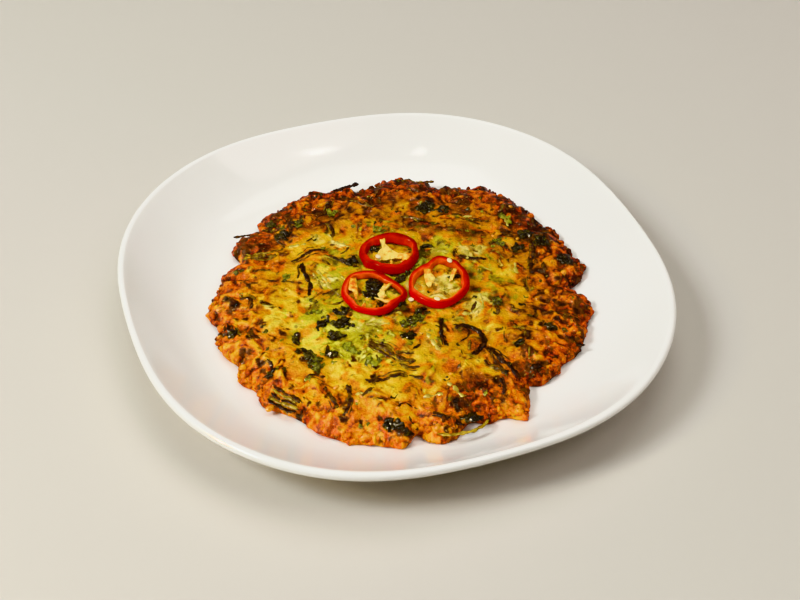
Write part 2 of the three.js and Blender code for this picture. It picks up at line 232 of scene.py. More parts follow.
# Long swells of the top: height (mm), radians per millimetre along x and along y, and phase.
SWELLS = [(0.45, 0.17, 0.07, 0.6), (0.4, -0.11, 0.19, 2.1), (0.35, 0.36, 0.27, 4), (0.3, -0.42, 0.31, 1)]
# Frills of the rim: height (mm), number round the rim, and phase.
FRILLS = [(0.9, 23, 1.3), (0.7, 37, 4.1)]
# Lobes and notches of the rim: where (degrees), how far out (mm), and half its width (degrees).
RIM_LOBES = [
    (20, 2, 5), (33, 2, 9), (60, 6, 14), (77, -5, 5), (89, 2.5, 6), (98, 2, 3), (108, -6, 8),
    (121, 3, 4), (149, -4, 4), (166, -8, 8), (179, -2, 6), (199, -1.5, 4), (213, -2, 5),
    (231, 2.5, 4), (256, 5, 14), (272, 4.5, 2.5), (276, -4, 2.2), (283, 3.5, 3.5), (293, -4.5, 6),
    (306, 6, 2.2), (316, -11, 3.5), (328, -6, 8), (346, -2.5, 3.5), (6, -11, 3.5), (159, 3, 3.5),
    (239, -2, 3), (250, -2, 4), (300, -2, 3),
]
TOP_CELLS = 284
TOP_EDGE = 0.97
SIDE_LOOPS = 10
SIDE_BULGE = 0.62 * math.pi
MAP_HALF = 100
MAP_PITCH = 0.3

# Where the batter shows more green, pale, browned or charred than around it: x, y, radius (mm), amount.
GREEN_PATCHES = [
    (-34, -21, 7, 0.6), (-48, -22, 6, 0.5), (-25, -6, 6, 0.6), (-28, 3, 8, 0.5), (-19, -41, 12, 0.8),
    (-40, -38, 7, 0.7), (-17, -46, 7, 0.7), (11, 14, 7, 0.8), (21, 26, 7, 0.6), (-7, 36, 6, 0.5),
    (-31, 50, 4, 0.7), (54, 9, 6, 0.5), (54, -9, 5, 0.4), (26, -54, 7, 0.5), (21, -66, 8, 0.4),
    (55, -38, 4, 0.6), (-8, -30, 8, 0.5), (52, 50, 5, 0.5), (-7, -52, 5, 0.5), (-19, 13, 6, 0.6),
    (40, 10, 9, 0.4), (0, 2, 12, 0.4), (-15, -20, 14, 0.4),
]
PALE_PATCHES = [
    (-49, 23, 4, 0.8), (-37, 30, 3.5, 0.8), (-27, 26, 5, 0.7), (-32, 1, 5, 0.6), (39, 27, 7, 0.8),
    (33, 22, 5, 0.9), (56, 14, 6, 0.9), (17, 22, 6, 0.6), (39, -9, 7, 0.7), (33, -19, 8, 0.7),
    (-8, -29, 7, 0.7), (16, -69, 6, 0.5), (-11, -71, 4, 0.5), (15, -37, 4, 0.5), (-58, -19, 3, 0.5),
    (21, -1, 9, 1.1), (6, -2, 8, 0.5), (-30, 16, 6, 0.5), (-8, 18, 8, 0.5),
]
BROWN_AND_SHADOW_PATCHES = [
    (7, 44, 8, 0.22), (34, 38, 6, 0.25), (52, 21, 5, 0.25), (-30, -17, 6, 0.15), (-56, -3, 10, 0.1),
    (34, -64, 10, 0.3), (9, -66, 6, 0.2), (47, -10, 5, 0.3), (16, -56, 4, 0.25), (-7, -77, 9, -0.12),
    (-48, -76, 6, -0.15), (74, -10, 12, 0.2), (66, 40, 10, 0.15), (-60, 30, 10, 0.1), (-40, 52, 8, -0.1),
    (-8, 12, 10, 0.12), (30, -34, 9, 0.15), (-62, 20, 8, 0.1), (44, 62, 7, -0.12), (-41, -50, 6, -0.1),
    (-40, -36, 26, -0.14), (0, -58, 22, -0.06), (8, 48, 28, 0.1), (-50, 0, 20, -0.05), (40, -38, 20, 0.1),
    # The brown patches from (36.5, -2) on are painted shadow, round the chilli slices.
    (36.5, -2, 2.8, 0.7), (35, 7, 2.8, 0.6), (33, -10, 2.6, 0.5), (12.6, 20, 3, 0.6), (6, -19, 2.6, 0.6),
    (0, -24, 2.2, 0.4), (14, -17.5, 2.4, 0.5), (-17, 14, 2.5, 0.3), (30, 17, 2.5, 0.5), (10, 7, 3, 0.2),
]
CHAR_PATCHES = [
    (79, -9, 4, 0.7), (82, -14, 3, 0.7), (47, -70, 4, 0.6), (24, -87, 3, 0.8), (-1, -85, 5, 0.7),
    (34, -64, 3, 0.7), (9, -66, 3, 0.6), (-18, -79, 3, 0.7), (-63, -46, 3, 0.7), (46, -10, 2.5, 0.6),
    (26, -81, 3, 0.6), (-27, -47, 3, 0.7), (-50, -60, 3, 0.7), (-30, -75, 3, 0.8), (-69, -36, 3.5, 0.7),
    (7, -90, 3, 0.9), (59, -50, 4, 0.8), (60, -29, 3, 0.7), (34, -82, 4, 0.8), (69, -26, 4, 0.7),
    (79, -34, 4, 0.7), (7, -36, 3, 0.6), (9, -26, 5, 0.5), (-33, -52, 6, 0.5), (-22, -24, 6, 0.5),
    (14, 55, 6, 0.6), (66, 34, 7, 0.6), (80, 22, 4, 0.7), (-52, 31, 4, 0.7), (-45, 40, 4, 0.5),
    (-66, 26, 5, 0.5), (-70, -20, 4, 0.5), (-58, 46, 4, 0.5), (-14, 76, 5, 0.5), (30, 72, 5, 0.5),
    (70, 52, 5, 0.6), (-6, -8, 6, 0.5), (-24, 60, 4, 0.5), (84, 4, 4, 0.6), (56, -64, 4, 0.6),
]


def smooth_step(low, high, value):
    """From 0 at low to 1 at high, with soft ends."""
    t = np.clip((value - low) / (high - low), 0, 1)
    return t * t * (3 - 2 * t)


def chance(i, j, seed):
    """A number from 0 to 1 for each whole (i, j), without order but the same in every run."""
    n = (i * 374761393 + j * 668265263 + seed * 974634777) & 0xFFFFFFFF
    n = ((n ^ (n >> 13)) * 1274126177) & 0xFFFFFFFF
    return ((n ^ (n >> 16)) & 0xFFFFFF) / 0x1000000


def swirl(x, y, size, seed):
    """Smooth noise from about -1 to 1, in lumps about `size` mm across."""
    i, j = np.floor(x / size).astype(np.int64), np.floor(y / size).astype(np.int64)
    u, v = x / size - i, y / size - j
    across, along = u * u * (3 - 2 * u), v * v * (3 - 2 * v)
    total = 0
    for di in (0, 1):
        for dj in (0, 1):
            angle = 2 * math.pi * chance(i + di, j + dj, seed)
            slope = np.cos(angle) * (u - di) + np.sin(angle) * (v - dj)
            total = total + slope * (across if di else 1 - across) * (along if dj else 1 - along)
    return 1.6 * total


def lumps(x, y, size, seed):
    """Rounded lumps with sharp creases between them, with smaller lumps on them, from 0 to about 1.5."""
    return sum(0.4 ** n * np.abs(swirl(x, y, size / 2 ** n, seed + n)) for n in range(3))


def cobbles(x, y, size, seed):
    """Rounded grains about `size` mm across, side by side: 1 on top of a grain and 0 between grains."""
    i, j = np.floor(x / size).astype(np.int64), np.floor(y / size).astype(np.int64)
    nearest = np.full(x.shape, 99.0)
    for di in (-1, 0, 1):
        for dj in (-1, 0, 1):
            middle_x = (i + di + chance(i + di, j + dj, seed)) * size
            middle_y = (j + dj + chance(i + di, j + dj, seed + 1)) * size
            nearest = np.minimum(nearest, np.hypot(x - middle_x, y - middle_y))
    return np.clip(1 - (nearest / (0.8 * size)) ** 2, 0, 1)


def rim_reach(angle):
    """The distance from the pancake's centre to its rim."""
    degrees = np.degrees(angle)
    reach = PANCAKE_RADIUS + sum(height * np.sin(waves * angle + phase) for height, waves, phase in FRILLS)
    for place, out, width in RIM_LOBES:
        away = (degrees - place + 180) % 360 - 180
        reach = reach + out * np.exp(-(away / width) ** 2)
    return reach


def share_at(x, y):
    """How far from the pancake's centre a point lies, as a share of the way to its rim."""
    dx, dy = x - PANCAKE_CENTRE[0], y - PANCAKE_CENTRE[1]
    return np.hypot(dx, dy) / rim_reach(np.arctan2(dy, dx))


def patch_sum(patches, x, y):
    """The patches' amounts at each point, each fading out from its middle."""
    return sum(amount * np.exp(-((x - a) ** 2 + (y - b) ** 2) / size ** 2) for a, b, size, amount in patches)


def body_height(x, y, share):
    """The smooth form of the top: a plump middle, long swells and a shoulder that falls to the rim."""
    plumpness = np.sqrt(1 - np.minimum(share / TOP_EDGE, 1) ** 6)
    body = RIM_THICKNESS + (PANCAKE_THICKNESS - RIM_THICKNESS) * plumpness
    waves = sum(rise * np.sin(a * x + b * y + phase) for rise, a, b, phase in SWELLS)
    waves = waves * smooth_step(SWELLS_START, SWELLS_FULL, np.hypot(x, y))
    return plate_top(x, y) + RESTING_GAP + body + waves


def soften(values, spread):
    """The map blurred over `spread` cells each way."""
    reach = int(2.5 * spread)
    weights = np.exp(-(np.arange(-reach, reach + 1) / spread) ** 2)
    weights /= weights.sum()
    for axis in (0, 1):
        values = sum(w * np.roll(values, n - reach, axis) for n, w in enumerate(weights))
    return values


# The relief is worked out on a square map, and the batter and all that lies on it are set by that map.
steps = np.arange(-MAP_HALF, MAP_HALF + MAP_PITCH, MAP_PITCH)
map_x, map_y = np.meshgrid(steps, steps, indexing="ij")
map_share = share_at(map_x, map_y)
crisp = smooth_step(0.6, 0.95, map_share)
warped_x = map_x + 1.8 * swirl(map_x, map_y, 6, 11) + 0.7 * swirl(map_x, map_y, 2.2, 13)
warped_y = map_y + 1.8 * swirl(map_x, map_y, 6, 12) + 0.7 * swirl(map_x, map_y, 2.2, 14)
relief = 0.6 * swirl(map_x, map_y, 11, 41) + 0.5 * swirl(warped_x, warped_y, 5, 42)
relief += (0.5 + 0.8 * crisp) * (lumps(warped_x, warped_y, 7, 43) - 0.45) + 0.1 * swirl(map_x, map_y, 1.6, 44)
grains = 0.6 * cobbles(warped_x, warped_y, 4.2, 45) + 0.4 * cobbles(warped_x, warped_y, 2.3, 47)
relief += (0.2 + 1.0 * crisp) * (grains - 0.55)
browning_and_shade = 0.26 + 0.12 * swirl(map_x, map_y, 16, 51) + 0.2 * swirl(warped_x, warped_y, 7, 52)
browning_and_shade += 0.08 * swirl(warped_x, warped_y, 3, 54)
browning_and_shade += 0.3 * smooth_step(0.5, 0.97, map_share) + 0.07 * smooth_step(0.84, 1, map_share)
browning_and_shade += patch_sum(BROWN_AND_SHADOW_PATCHES, map_x, map_y)
# Browner towards the back and right, lighter towards the front and left: partly real browning and partly
# painted shade of the side away from the light.
browning_and_shade += 0.22 * np.cos(np.arctan2(map_y, map_x) - math.radians(75)) * smooth_step(0.3, 0.95, map_share)
fried_spots = smooth_step(0, 0.5, swirl(warped_x, warped_y, 5.5, 66))
browning_and_shade += 0.1 * fried_spots
browning_and_shade += crisp * (0.2 * swirl(warped_x, warped_y, 5, 53) + 0.1 * swirl(warped_x, warped_y, 2.4, 55))
green = patch_sum(GREEN_PATCHES, map_x, map_y) + 0.45 * swirl(warped_x, warped_y, 8, 61)
green += 0.22 - 0.75 * smooth_step(0.5, 0.85, map_share)
pale = patch_sum(PALE_PATCHES, map_x, map_y) + 0.35 * swirl(warped_x, warped_y, 6, 62)
pale -= 0.5 * smooth_step(0.5, 0.8, map_share)
charred = patch_sum(CHAR_PATCHES, map_x, map_y) * (0.55 + 0.7 * swirl(warped_x, warped_y, 3, 65))
charred += 0.22 * swirl(warped_x, warped_y, 7, 63) + 0.14 * crisp - 0.05


def wander(x, y, length, *headings):
    """Points half a millimetre apart along a limp strand whose heading passes evenly through `headings`."""
    count = max(5, round(2 * length))
    turn = np.radians(np.interp(np.linspace(0, 1, count), np.linspace(0, 1, len(headings)), headings))
    along = np.cumsum(np.stack([np.cos(turn), np.sin(turn)], 1), 0) * length / count
    return np.concatenate([[[x, y]], along + [x, y]])


def under_strand(path, width):
    """The cells of the map near a strand, and how near each is to it: 1 under it and 0 a width away."""
    low = np.floor((path.min(0) - width * 1.5 + MAP_HALF) / MAP_PITCH).astype(int)
    high = np.ceil((path.max(0) + width * 1.5 + MAP_HALF) / MAP_PITCH).astype(int)
    cells = (slice(low[0], high[0]), slice(low[1], high[1]))
    gap = np.full(map_x[cells].shape, 99.0)
    for x, y in path:
        gap = np.minimum(gap, np.hypot(warped_x[cells] - x, warped_y[cells] - y))
    return cells, np.exp(-(gap / (0.55 * width)) ** 2)


# Sprouts, scraps of scallion and strips of fern lie just under the skin of the batter, as low ridges.
# Batter covers parts of each, only what it leaves bare has the strand's own colour, and its edges brown.
LONG_STRANDS = 110
SHORT_STRANDS = 400
random = np.random.default_rng(3)
bare = smooth_step(-0.35, 0.25, swirl(map_x, map_y, 4, 64))
for n in range(LONG_STRANDS + SHORT_STRANDS):
    is_long = n < LONG_STRANDS
    reach, angle = 83 * math.sqrt(random.random()), 2 * math.pi * random.random()
    x, y = PANCAKE_CENTRE + reach * np.array([math.cos(angle), math.sin(angle)])
    heading, bend = 360 * random.random(), random.uniform(-110, 110)
    width = random.uniform(2.4, 3.8) if is_long else random.uniform(1.1, 2.4)
    length = random.uniform(8, 20) if is_long else random.uniform(3, 9)
    cells, near = under_strand(wander(x, y, length, heading, heading + 0.3 * bend, heading + bend), width)
    relief[cells] += random.uniform(0.15, 0.5) * (0.5 + 0.5 * reach / PANCAKE_RADIUS) * near
    edge = (4 * near * (1 - near)) ** 3 * bare[cells]
    kind, amount = random.random(), random.random()
    soft_part = 1 - reach / PANCAKE_RADIUS
    browning_and_shade[cells] += (0.5 if is_long else 0.42) * (0.4 + 0.6 * amount) * edge
    if is_long:
        browning_and_shade[cells] -= 0.1 * near
    if kind < 0.08 + 0.3 * soft_part:
        pale[cells] += (0.3 + 0.6 * amount) * near * bare[cells]
    elif kind < 0.22 + 0.4 * soft_part:
        green[cells] += (0.3 + 0.7 * amount) * near * bare[cells]
    elif kind < 0.55:
        charred[cells] += (0.1 + (0.35 if is_long else 0.65) * amount) * near * bare[cells]
    else:
        browning_and_shade[cells] += (0.4 * amount - 0.12) * near

# Specks of bran and scorched crumbs are sunk in the skin, most of them near the rim.
FLECKS = 400
for n in range(FLECKS):
    reach, angle = 86 * random.random() ** 0.34, 2 * math.pi * random.random()
    speck_at = PANCAKE_CENTRE + reach * np.array([[math.cos(angle), math.sin(angle)]])
    cells, near = under_strand(speck_at, random.uniform(1.1, 3.4) * (0.75 + 0.35 * reach / PANCAKE_RADIUS))
    charred[cells] += random.uniform(0.25, 0.85) * near
    relief[cells] += random.uniform(-0.35, 0.2) * near

# Painted shade: the batter is coloured darker where it lies lower than the batter round it, in creases and
# hollows.
sunk = np.clip((soften(relief, 1.6 / MAP_PITCH) - relief) / 0.7, -1, 1)
sunk += 0.5 * np.clip((soften(relief, 4 / MAP_PITCH) - relief) / 1.0, -1, 1)
sunk *= 0.6 + 0.4 * crisp


def read_map(values, x, y):
    """A map's values at points between its cells."""
    u = np.clip((np.asarray(x) + MAP_HALF) / MAP_PITCH, 0, len(steps) - 2)
    v = np.clip((np.asarray(y) + MAP_HALF) / MAP_PITCH, 0, len(steps) - 2)
    i, j = u.astype(int), v.astype(int)
    s, t = u - i, v - j
    near = values[i, j] * (1 - s) + values[i + 1, j] * s
    far = values[i, j + 1] * (1 - s) + values[i + 1, j + 1] * s
    return near * (1 - t) + far * t


def top_height(x, y):
    """The height of the finished top."""
    return body_height(x, y, share_at(x, y)) + read_map(relief, x, y)


def square_to_disc(a, b):
    """A point of a square from -1 to 1 carried onto the disc, as share of the reach and angle."""
    wide = np.abs(a) > np.abs(b)
    share = np.where(wide, a, b)
    with np.errstate(divide="ignore", invalid="ignore"):
        angle = np.where(wide, math.pi / 4 * b / a, math.pi / 2 - math.pi / 4 * a / b)
    angle = np.nan_to_num(angle)
    return np.abs(share), np.where(share < 0, angle + math.pi, angle)


def on_disc(share, angle):
    """Where a share of the reach at an angle lies, in the plate's millimetres."""
    reach = share * rim_reach((angle + math.pi) % (2 * math.pi) - math.pi)
    return PANCAKE_CENTRE[0] + reach * np.cos(angle), PANCAKE_CENTRE[1] + reach * np.sin(angle)


def anywhere(most, random):
    """A random place on the top, out to `most` of the reach."""
    share, angle = most * math.sqrt(random.random()), 2 * math.pi * random.random()
    x, y = on_disc(np.array(share), np.array(angle))
    return float(x), float(y)


def ragged(x, y, z, share):
    """Points near the rim pushed in and out to a torn, craggy edge."""
    edge = smooth_step(0.88, 0.99, share)
    push = 1.3 * swirl(x + 0.5 * z, y + 0.8 * z, 3.1, 71) + 0.7 * swirl(x + 0.9 * z, y - 0.7 * z, 1.5, 72)
    dx, dy = x - PANCAKE_CENTRE[0], y - PANCAKE_CENTRE[1]
    away = np.maximum(np.hypot(dx, dy), 1)
    return x + edge * push * dx / away, y + edge * push * dy / away


def side_share(down):
    """How far out the side lies at each share of the way down from the top's edge to the plate."""
    return TOP_EDGE + (1 - TOP_EDGE) * math.sin(SIDE_BULGE * down)


def make_batter():
    """The top as a fine net, loops that slope down and out to the plate, and the flat underside."""
    side = np.linspace(-1, 1, TOP_CELLS + 1)
    a, b = np.meshgrid(side, side, indexing="ij")
    share, angle = square_to_disc(a.ravel(), b.ravel())
    x, y = on_disc(TOP_EDGE * share, angle)
    z = body_height(x, y, TOP_EDGE * share) + read_map(relief, x, y)
    points = [np.stack([*ragged(x, y, z, share), z], 1)]
    index = np.arange((TOP_CELLS + 1) ** 2).reshape(TOP_CELLS + 1, -1)
    corners = [index[:-1, :-1], index[1:, :-1], index[1:, 1:], index[:-1, 1:]]
    faces = np.stack(corners, 2).reshape(-1, 4).tolist()
    border = np.concatenate([index[:-1, 0], index[-1, :-1], index[:0:-1, -1], index[0, :0:-1]])
    loop, total, edge_height = border, len(x), z[border]
    sides = [(side_share(down), (1 - down) ** 0.9) for down in np.linspace(0, 1, SIDE_LOOPS + 1)[1:]]
    for share_now, rise in sides + [(0.9, 0), (0.6, 0), (0.3, 0)]:
        x, y = on_disc(share_now, angle[border])
        bed = plate_top(x, y) + RESTING_GAP
        z = bed + rise * (edge_height - bed)
        points.append(np.stack([*ragged(x, y, z, np.float64(min(1, 0.9 + 0.6 * rise))), z], 1))
        after = total + np.arange(len(border))
        faces += np.stack([loop, after, np.roll(after, -1), np.roll(loop, -1)], 1).tolist()
        loop, total = after, total + len(border)
    points.append([[*PANCAKE_CENTRE, WELL_HEIGHT + RESTING_GAP]])
    faces += [(int(p), total, int(q)) for p, q in zip(loop, np.roll(loop, -1))]
    return np.concatenate(points), faces


# Fried batter: a soft golden paste that browns through orange to maroon as it crisps, under a film of oil.
# The oil gives small sharp glints on every grain; green and pale patches are vegetable under the skin.
batter_finish, tree, where = new_material("fried_batter")
crisp_here, browning_and_shade_here, green_here, pale_here, charred_here, crease_shade_here = (
    add(tree, "ShaderNodeAttribute", out="Fac", attribute_name=mask)
    for mask in ("crisp", "browning_and_shade", "green", "pale", "charred", "sunk"))
grain = add(tree, "ShaderNodeTexNoise", {
    "Vector": where, "Scale": 1 / (2.8 * MM), "Detail": 3, "Roughness": 0.6}, normalize=False)
speck = add(tree, "ShaderNodeTexNoise", {
    "Vector": where, "Scale": 1 / (1.0 * MM), "Detail": 2, "Roughness": 0.6}, normalize=False)
crumb = add(tree, "ShaderNodeTexVoronoi", {"Vector": where, "Scale": 1 / (1.2 * MM)}, out="Distance")
blotched = add(tree, "ShaderNodeMath", {0: crisp_here, 1: 0.2, 2: 0.12}, operation="MULTIPLY_ADD")
dotted = add(tree, "ShaderNodeMath", {0: crisp_here, 1: 0.12, 2: 0.07}, operation="MULTIPLY_ADD")
tone = add(tree, "ShaderNodeMath", {0: grain, 1: blotched, 2: browning_and_shade_here}, operation="MULTIPLY_ADD")
tone = add(tree, "ShaderNodeMath", {0: speck, 1: dotted, 2: tone}, operation="MULTIPLY_ADD")
# The hollows are darkened with painted shade.
tone = add(tree, "ShaderNodeMath", {0: crease_shade_here, 1: 0.3, 2: tone}, operation="MULTIPLY_ADD")
soft = add(tree, "ShaderNodeValToRGB", {"Fac": tone}, stops=[
    (0.0, "#E0C850"), (0.16, "#D6AC2C"), (0.34, "#CA9418"), (0.48, "#BE7C10"), (0.6, "#A25C0C"),
    (0.72, "#7C3E08"), (0.85, "#502408"), (1.0, "#2A1006")])
hard = add(tree, "ShaderNodeValToRGB", {"Fac": tone}, stops=[
    (0.0, "#E0AC2C"), (0.18, "#DC941A"), (0.34, "#D87A12"), (0.48, "#CE600C"), (0.6, "#B64608"),
    (0.72, "#8C2C06"), (0.84, "#5A1A04"), (1.0, "#2E0C04")])
crust = add(tree, "ShaderNodeMix", {0: crisp_here, 6: soft, 7: hard}, out=2, data_type="RGBA")
leafy = add(tree, "ShaderNodeMath", {0: grain, 1: 0.5, 2: green_here}, operation="MULTIPLY_ADD")
leafy = add(tree, "ShaderNodeMapRange", {
    "Value": leafy, "From Min": 0.3, "From Max": 0.8, "To Max": 0.85}, interpolation_type="SMOOTHSTEP")
leaf = add(tree, "ShaderNodeValToRGB", {"Fac": tone}, stops=[
    (0.0, "#D2CC58"), (0.25, "#B0AA28"), (0.5, "#8A7C18"), (0.8, "#4E400C")])
colour = add(tree, "ShaderNodeMix", {0: leafy, 6: crust, 7: leaf}, out=2, data_type="RGBA")
milky = add(tree, "ShaderNodeMath", {0: speck, 1: 0.35, 2: pale_here}, operation="MULTIPLY_ADD")
milky = add(tree, "ShaderNodeMapRange", {
    "Value": milky, "From Min": 0.3, "From Max": 1.0, "To Max": 0.75}, interpolation_type="SMOOTHSTEP")
watery = add(tree, "ShaderNodeValToRGB", {"Fac": tone}, stops=[
    (0.05, "#E8E0A0"), (0.3, "#D2C868"), (0.5, "#A89838"), (0.8, "#5E4412")])
colour = add(tree, "ShaderNodeMix", {0: milky, 6: colour, 7: watery}, out=2, data_type="RGBA")
burnt = add(tree, "ShaderNodeMath", {0: grain, 1: 0.25, 2: charred_here}, operation="MULTIPLY_ADD")
burnt = add(tree, "ShaderNodeMath", {0: speck, 1: 0.12, 2: burnt}, operation="MULTIPLY_ADD")
char = add(tree, "ShaderNodeValToRGB", {"Fac": burnt}, stops=[
    (0.3, "#84500C"), (0.55, "#602C08"), (0.8, "#381406"), (1.0, "#1C0A04")])
burnt_share = add(tree, "ShaderNodeMapRange", {
    "Value": burnt, "From Min": 0.26, "From Max": 0.58}, interpolation_type="SMOOTHSTEP")
colour = add(tree, "ShaderNodeMix", {0: burnt_share, 6: colour, 7: char}, out=2, data_type="RGBA")
# Pale dots about half a millimetre wide are painted glints of the oil; dark specks of husk, up to three
# times as wide, show through the skin. The cells that place them are bent, so that no dot is round.
# Each kind: spacing (mm), where a dot starts to fade and where it ends (cells), the share of cells without
# one, its colour, and how strongly it shows.
wobble = add(tree, "ShaderNodeTexNoise", {"Vector": where, "Scale": 1 / (1.4 * MM), "Detail": 1}, out="Color")
bent = add(tree, "ShaderNodeVectorMath", {0: wobble, 1: (2.6 * MM,) * 3, 2: where}, operation="MULTIPLY_ADD")
for spacing, near, far, least, tint, most in (
        (2.1, 0.08, 0.22, 0.55, "#F2C870", 0.5), (3.6, 0.12, 0.34, 0.45, "#5A2408", 0.6)):
    cell = {"Vector": bent, "Scale": 1 / (spacing * MM)}
    from_middle = add(tree, "ShaderNodeTexVoronoi", cell, out="Distance")
    cell_colour = add(tree, "ShaderNodeTexVoronoi", cell, out="Color")
    which = add(tree, "ShaderNodeSeparateColor", {"Color": cell_colour})
    chosen = add(tree, "ShaderNodeMath", {0: which, 1: least}, operation="GREATER_THAN")
    dot = add(tree, "ShaderNodeMapRange", {
        "Value": from_middle, "From Min": far, "From Max": near,
        "To Max": most}, interpolation_type="SMOOTHSTEP")
    dot = add(tree, "ShaderNodeMath", {0: dot, 1: chosen}, operation="MULTIPLY")
    colour = add(tree, "ShaderNodeMix", {0: dot, 6: colour, 7: linear(tint)}, out=2, data_type="RGBA")
hue = add(tree, "ShaderNodeMath", {0: grain, 1: 0.012, 2: 0.5}, operation="MULTIPLY_ADD")
colour = add(tree, "ShaderNodeHueSaturation", {"Hue": hue, "Color": colour})
wet = add(tree, "ShaderNodeMapRange", {
    "Value": grain, "From Min": -0.6, "From Max": 0.6, "To Min": 0.3, "To Max": 0.5})
rough = add(tree, "ShaderNodeBump", {"Height": crumb, "Strength": 0.15, "Distance": 0.35 * MM})
rough = add(tree, "ShaderNodeBump", {
    "Height": speck, "Strength": 0.3, "Distance": 0.35 * MM, "Normal": rough})
oily = add(tree, "ShaderNodeBump", {"Height": speck, "Strength": 0.7, "Distance": 0.4 * MM})
cover(tree, add(tree, "ShaderNodeBsdfPrincipled", {
    "Base Color": colour, "Roughness": wet, "IOR": 1.4, "Specular IOR Level": 0.05, "Normal": rough,
    "Subsurface Weight": 0.08, "Subsurface Radius": (1, 0.5, 0.15), "Subsurface Scale": 1.2 * MM,
    "Coat Weight": 0.25, "Coat Roughness": 0.12, "Coat Normal": oily}))


# Rim crags
# Drops of batter and grains of bean that spat in the oil and fried on to the rim as hard brown crumbs.
# They cover the side from the plate to the shoulder, and thin out over the top.

SIDE_CRAGS = 300
TOP_CRAGS = 90


def ball(detail):
    """The points and triangles of a round ball of radius 1."""
    net = bmesh.new()
    bmesh.ops.create_icosphere(net, subdivisions=detail, radius=1)
    points = np.array([v.co for v in net.verts])
    faces = np.array([[v.index for v in face.verts] for face in net.faces])
    net.free()
    return points, faces


def gather(parts):
    """Joins meshes, given as points, faces and masks, into one."""
    points, faces, masks, start = [], [], {}, 0
    for part_points, part_faces, part_masks in parts:
        points.append(part_points)
        faces += [[start + int(n) for n in face] for face in part_faces]
        for mask, value in part_masks.items():
            masks.setdefault(mask, []).append(np.broadcast_to(value, len(part_points)))
        start += len(part_points)
    return np.concatenate(points), faces, {mask: np.concatenate(v) for mask, v in masks.items()}


def craggy(points, depth, random):
    """A ball's points pushed in along creases, so that it looks broken off and fried hard."""
    push = 0
    for n in range(5):
        way = random.normal(size=3)
        push = push + np.abs(np.sin(points @ way * 1.7 + 6.3 * random.random())) - 0.6
    return points * (1 + depth * push)[:, None]


def tumbled(points, random):
    """Points turned a random way."""
    turn, _ = np.linalg.qr(random.normal(size=(3, 3)))
    return points @ turn


ball_points, ball_faces = ball(3)
random = np.random.default_rng(5)
crags = []
for n in range(SIDE_CRAGS + TOP_CRAGS):
    on_side = n < SIDE_CRAGS
    angle = 2 * math.pi * random.random()
    size = random.uniform(0.6, 2.0) * (1 if on_side else 0.8)
    if on_side:
        rise = random.random()
        share = side_share(1 - rise) - (size - 0.7) / PANCAKE_RADIUS
        x, y = on_disc(np.array(share), np.array(angle))
        z = plate_top(x, y) + RESTING_GAP + size + rise * max(0.2, RIM_THICKNESS + 0.4 - size)
    else:
        share = 0.99 - 0.2 * random.random() ** 1.6
        x, y = on_disc(np.array(share), np.array(angle))
        z = top_height(x, y) - 0.35 * size
    shape = craggy(tumbled(ball_points, random) * random.uniform(0.55, 1.3, 3), 0.13, random)
    points = shape * size + [float(x), float(y), float(z)]
    # Painted shade: each crumb is coloured darker low down and deeper in its creases.
    tone = float(read_map(browning_and_shade, x, y)) + random.uniform(-0.1, 0.14)
    crags.append((points, ball_faces, {
        "crisp": 1, "browning_and_shade": tone - 0.15 * shape[:, 2] + 0.12 * on_side, "green": -0.5, "pale": -0.5,
        "charred": float(read_map(charred, x, y)) + random.uniform(-0.3, 0.15),
        "sunk": np.clip(-0.6 * shape[:, 2] + 1.2 * (0.9 - np.linalg.norm(shape, axis=1)), -0.4, 0.9)}))
crag_points, crag_faces, crag_masks = gather(crags)
make_piece("pancake_crags", crag_points, crag_faces, batter_finish, crag_masks)


# Shreds
# Strips of bracken fern, soaked and boiled soft, and the darker strings of scallion, fried on the top until
# they char. Each is a limp flat strand, half sunk in the batter, with pinched ends and a frayed thread along
# each edge.

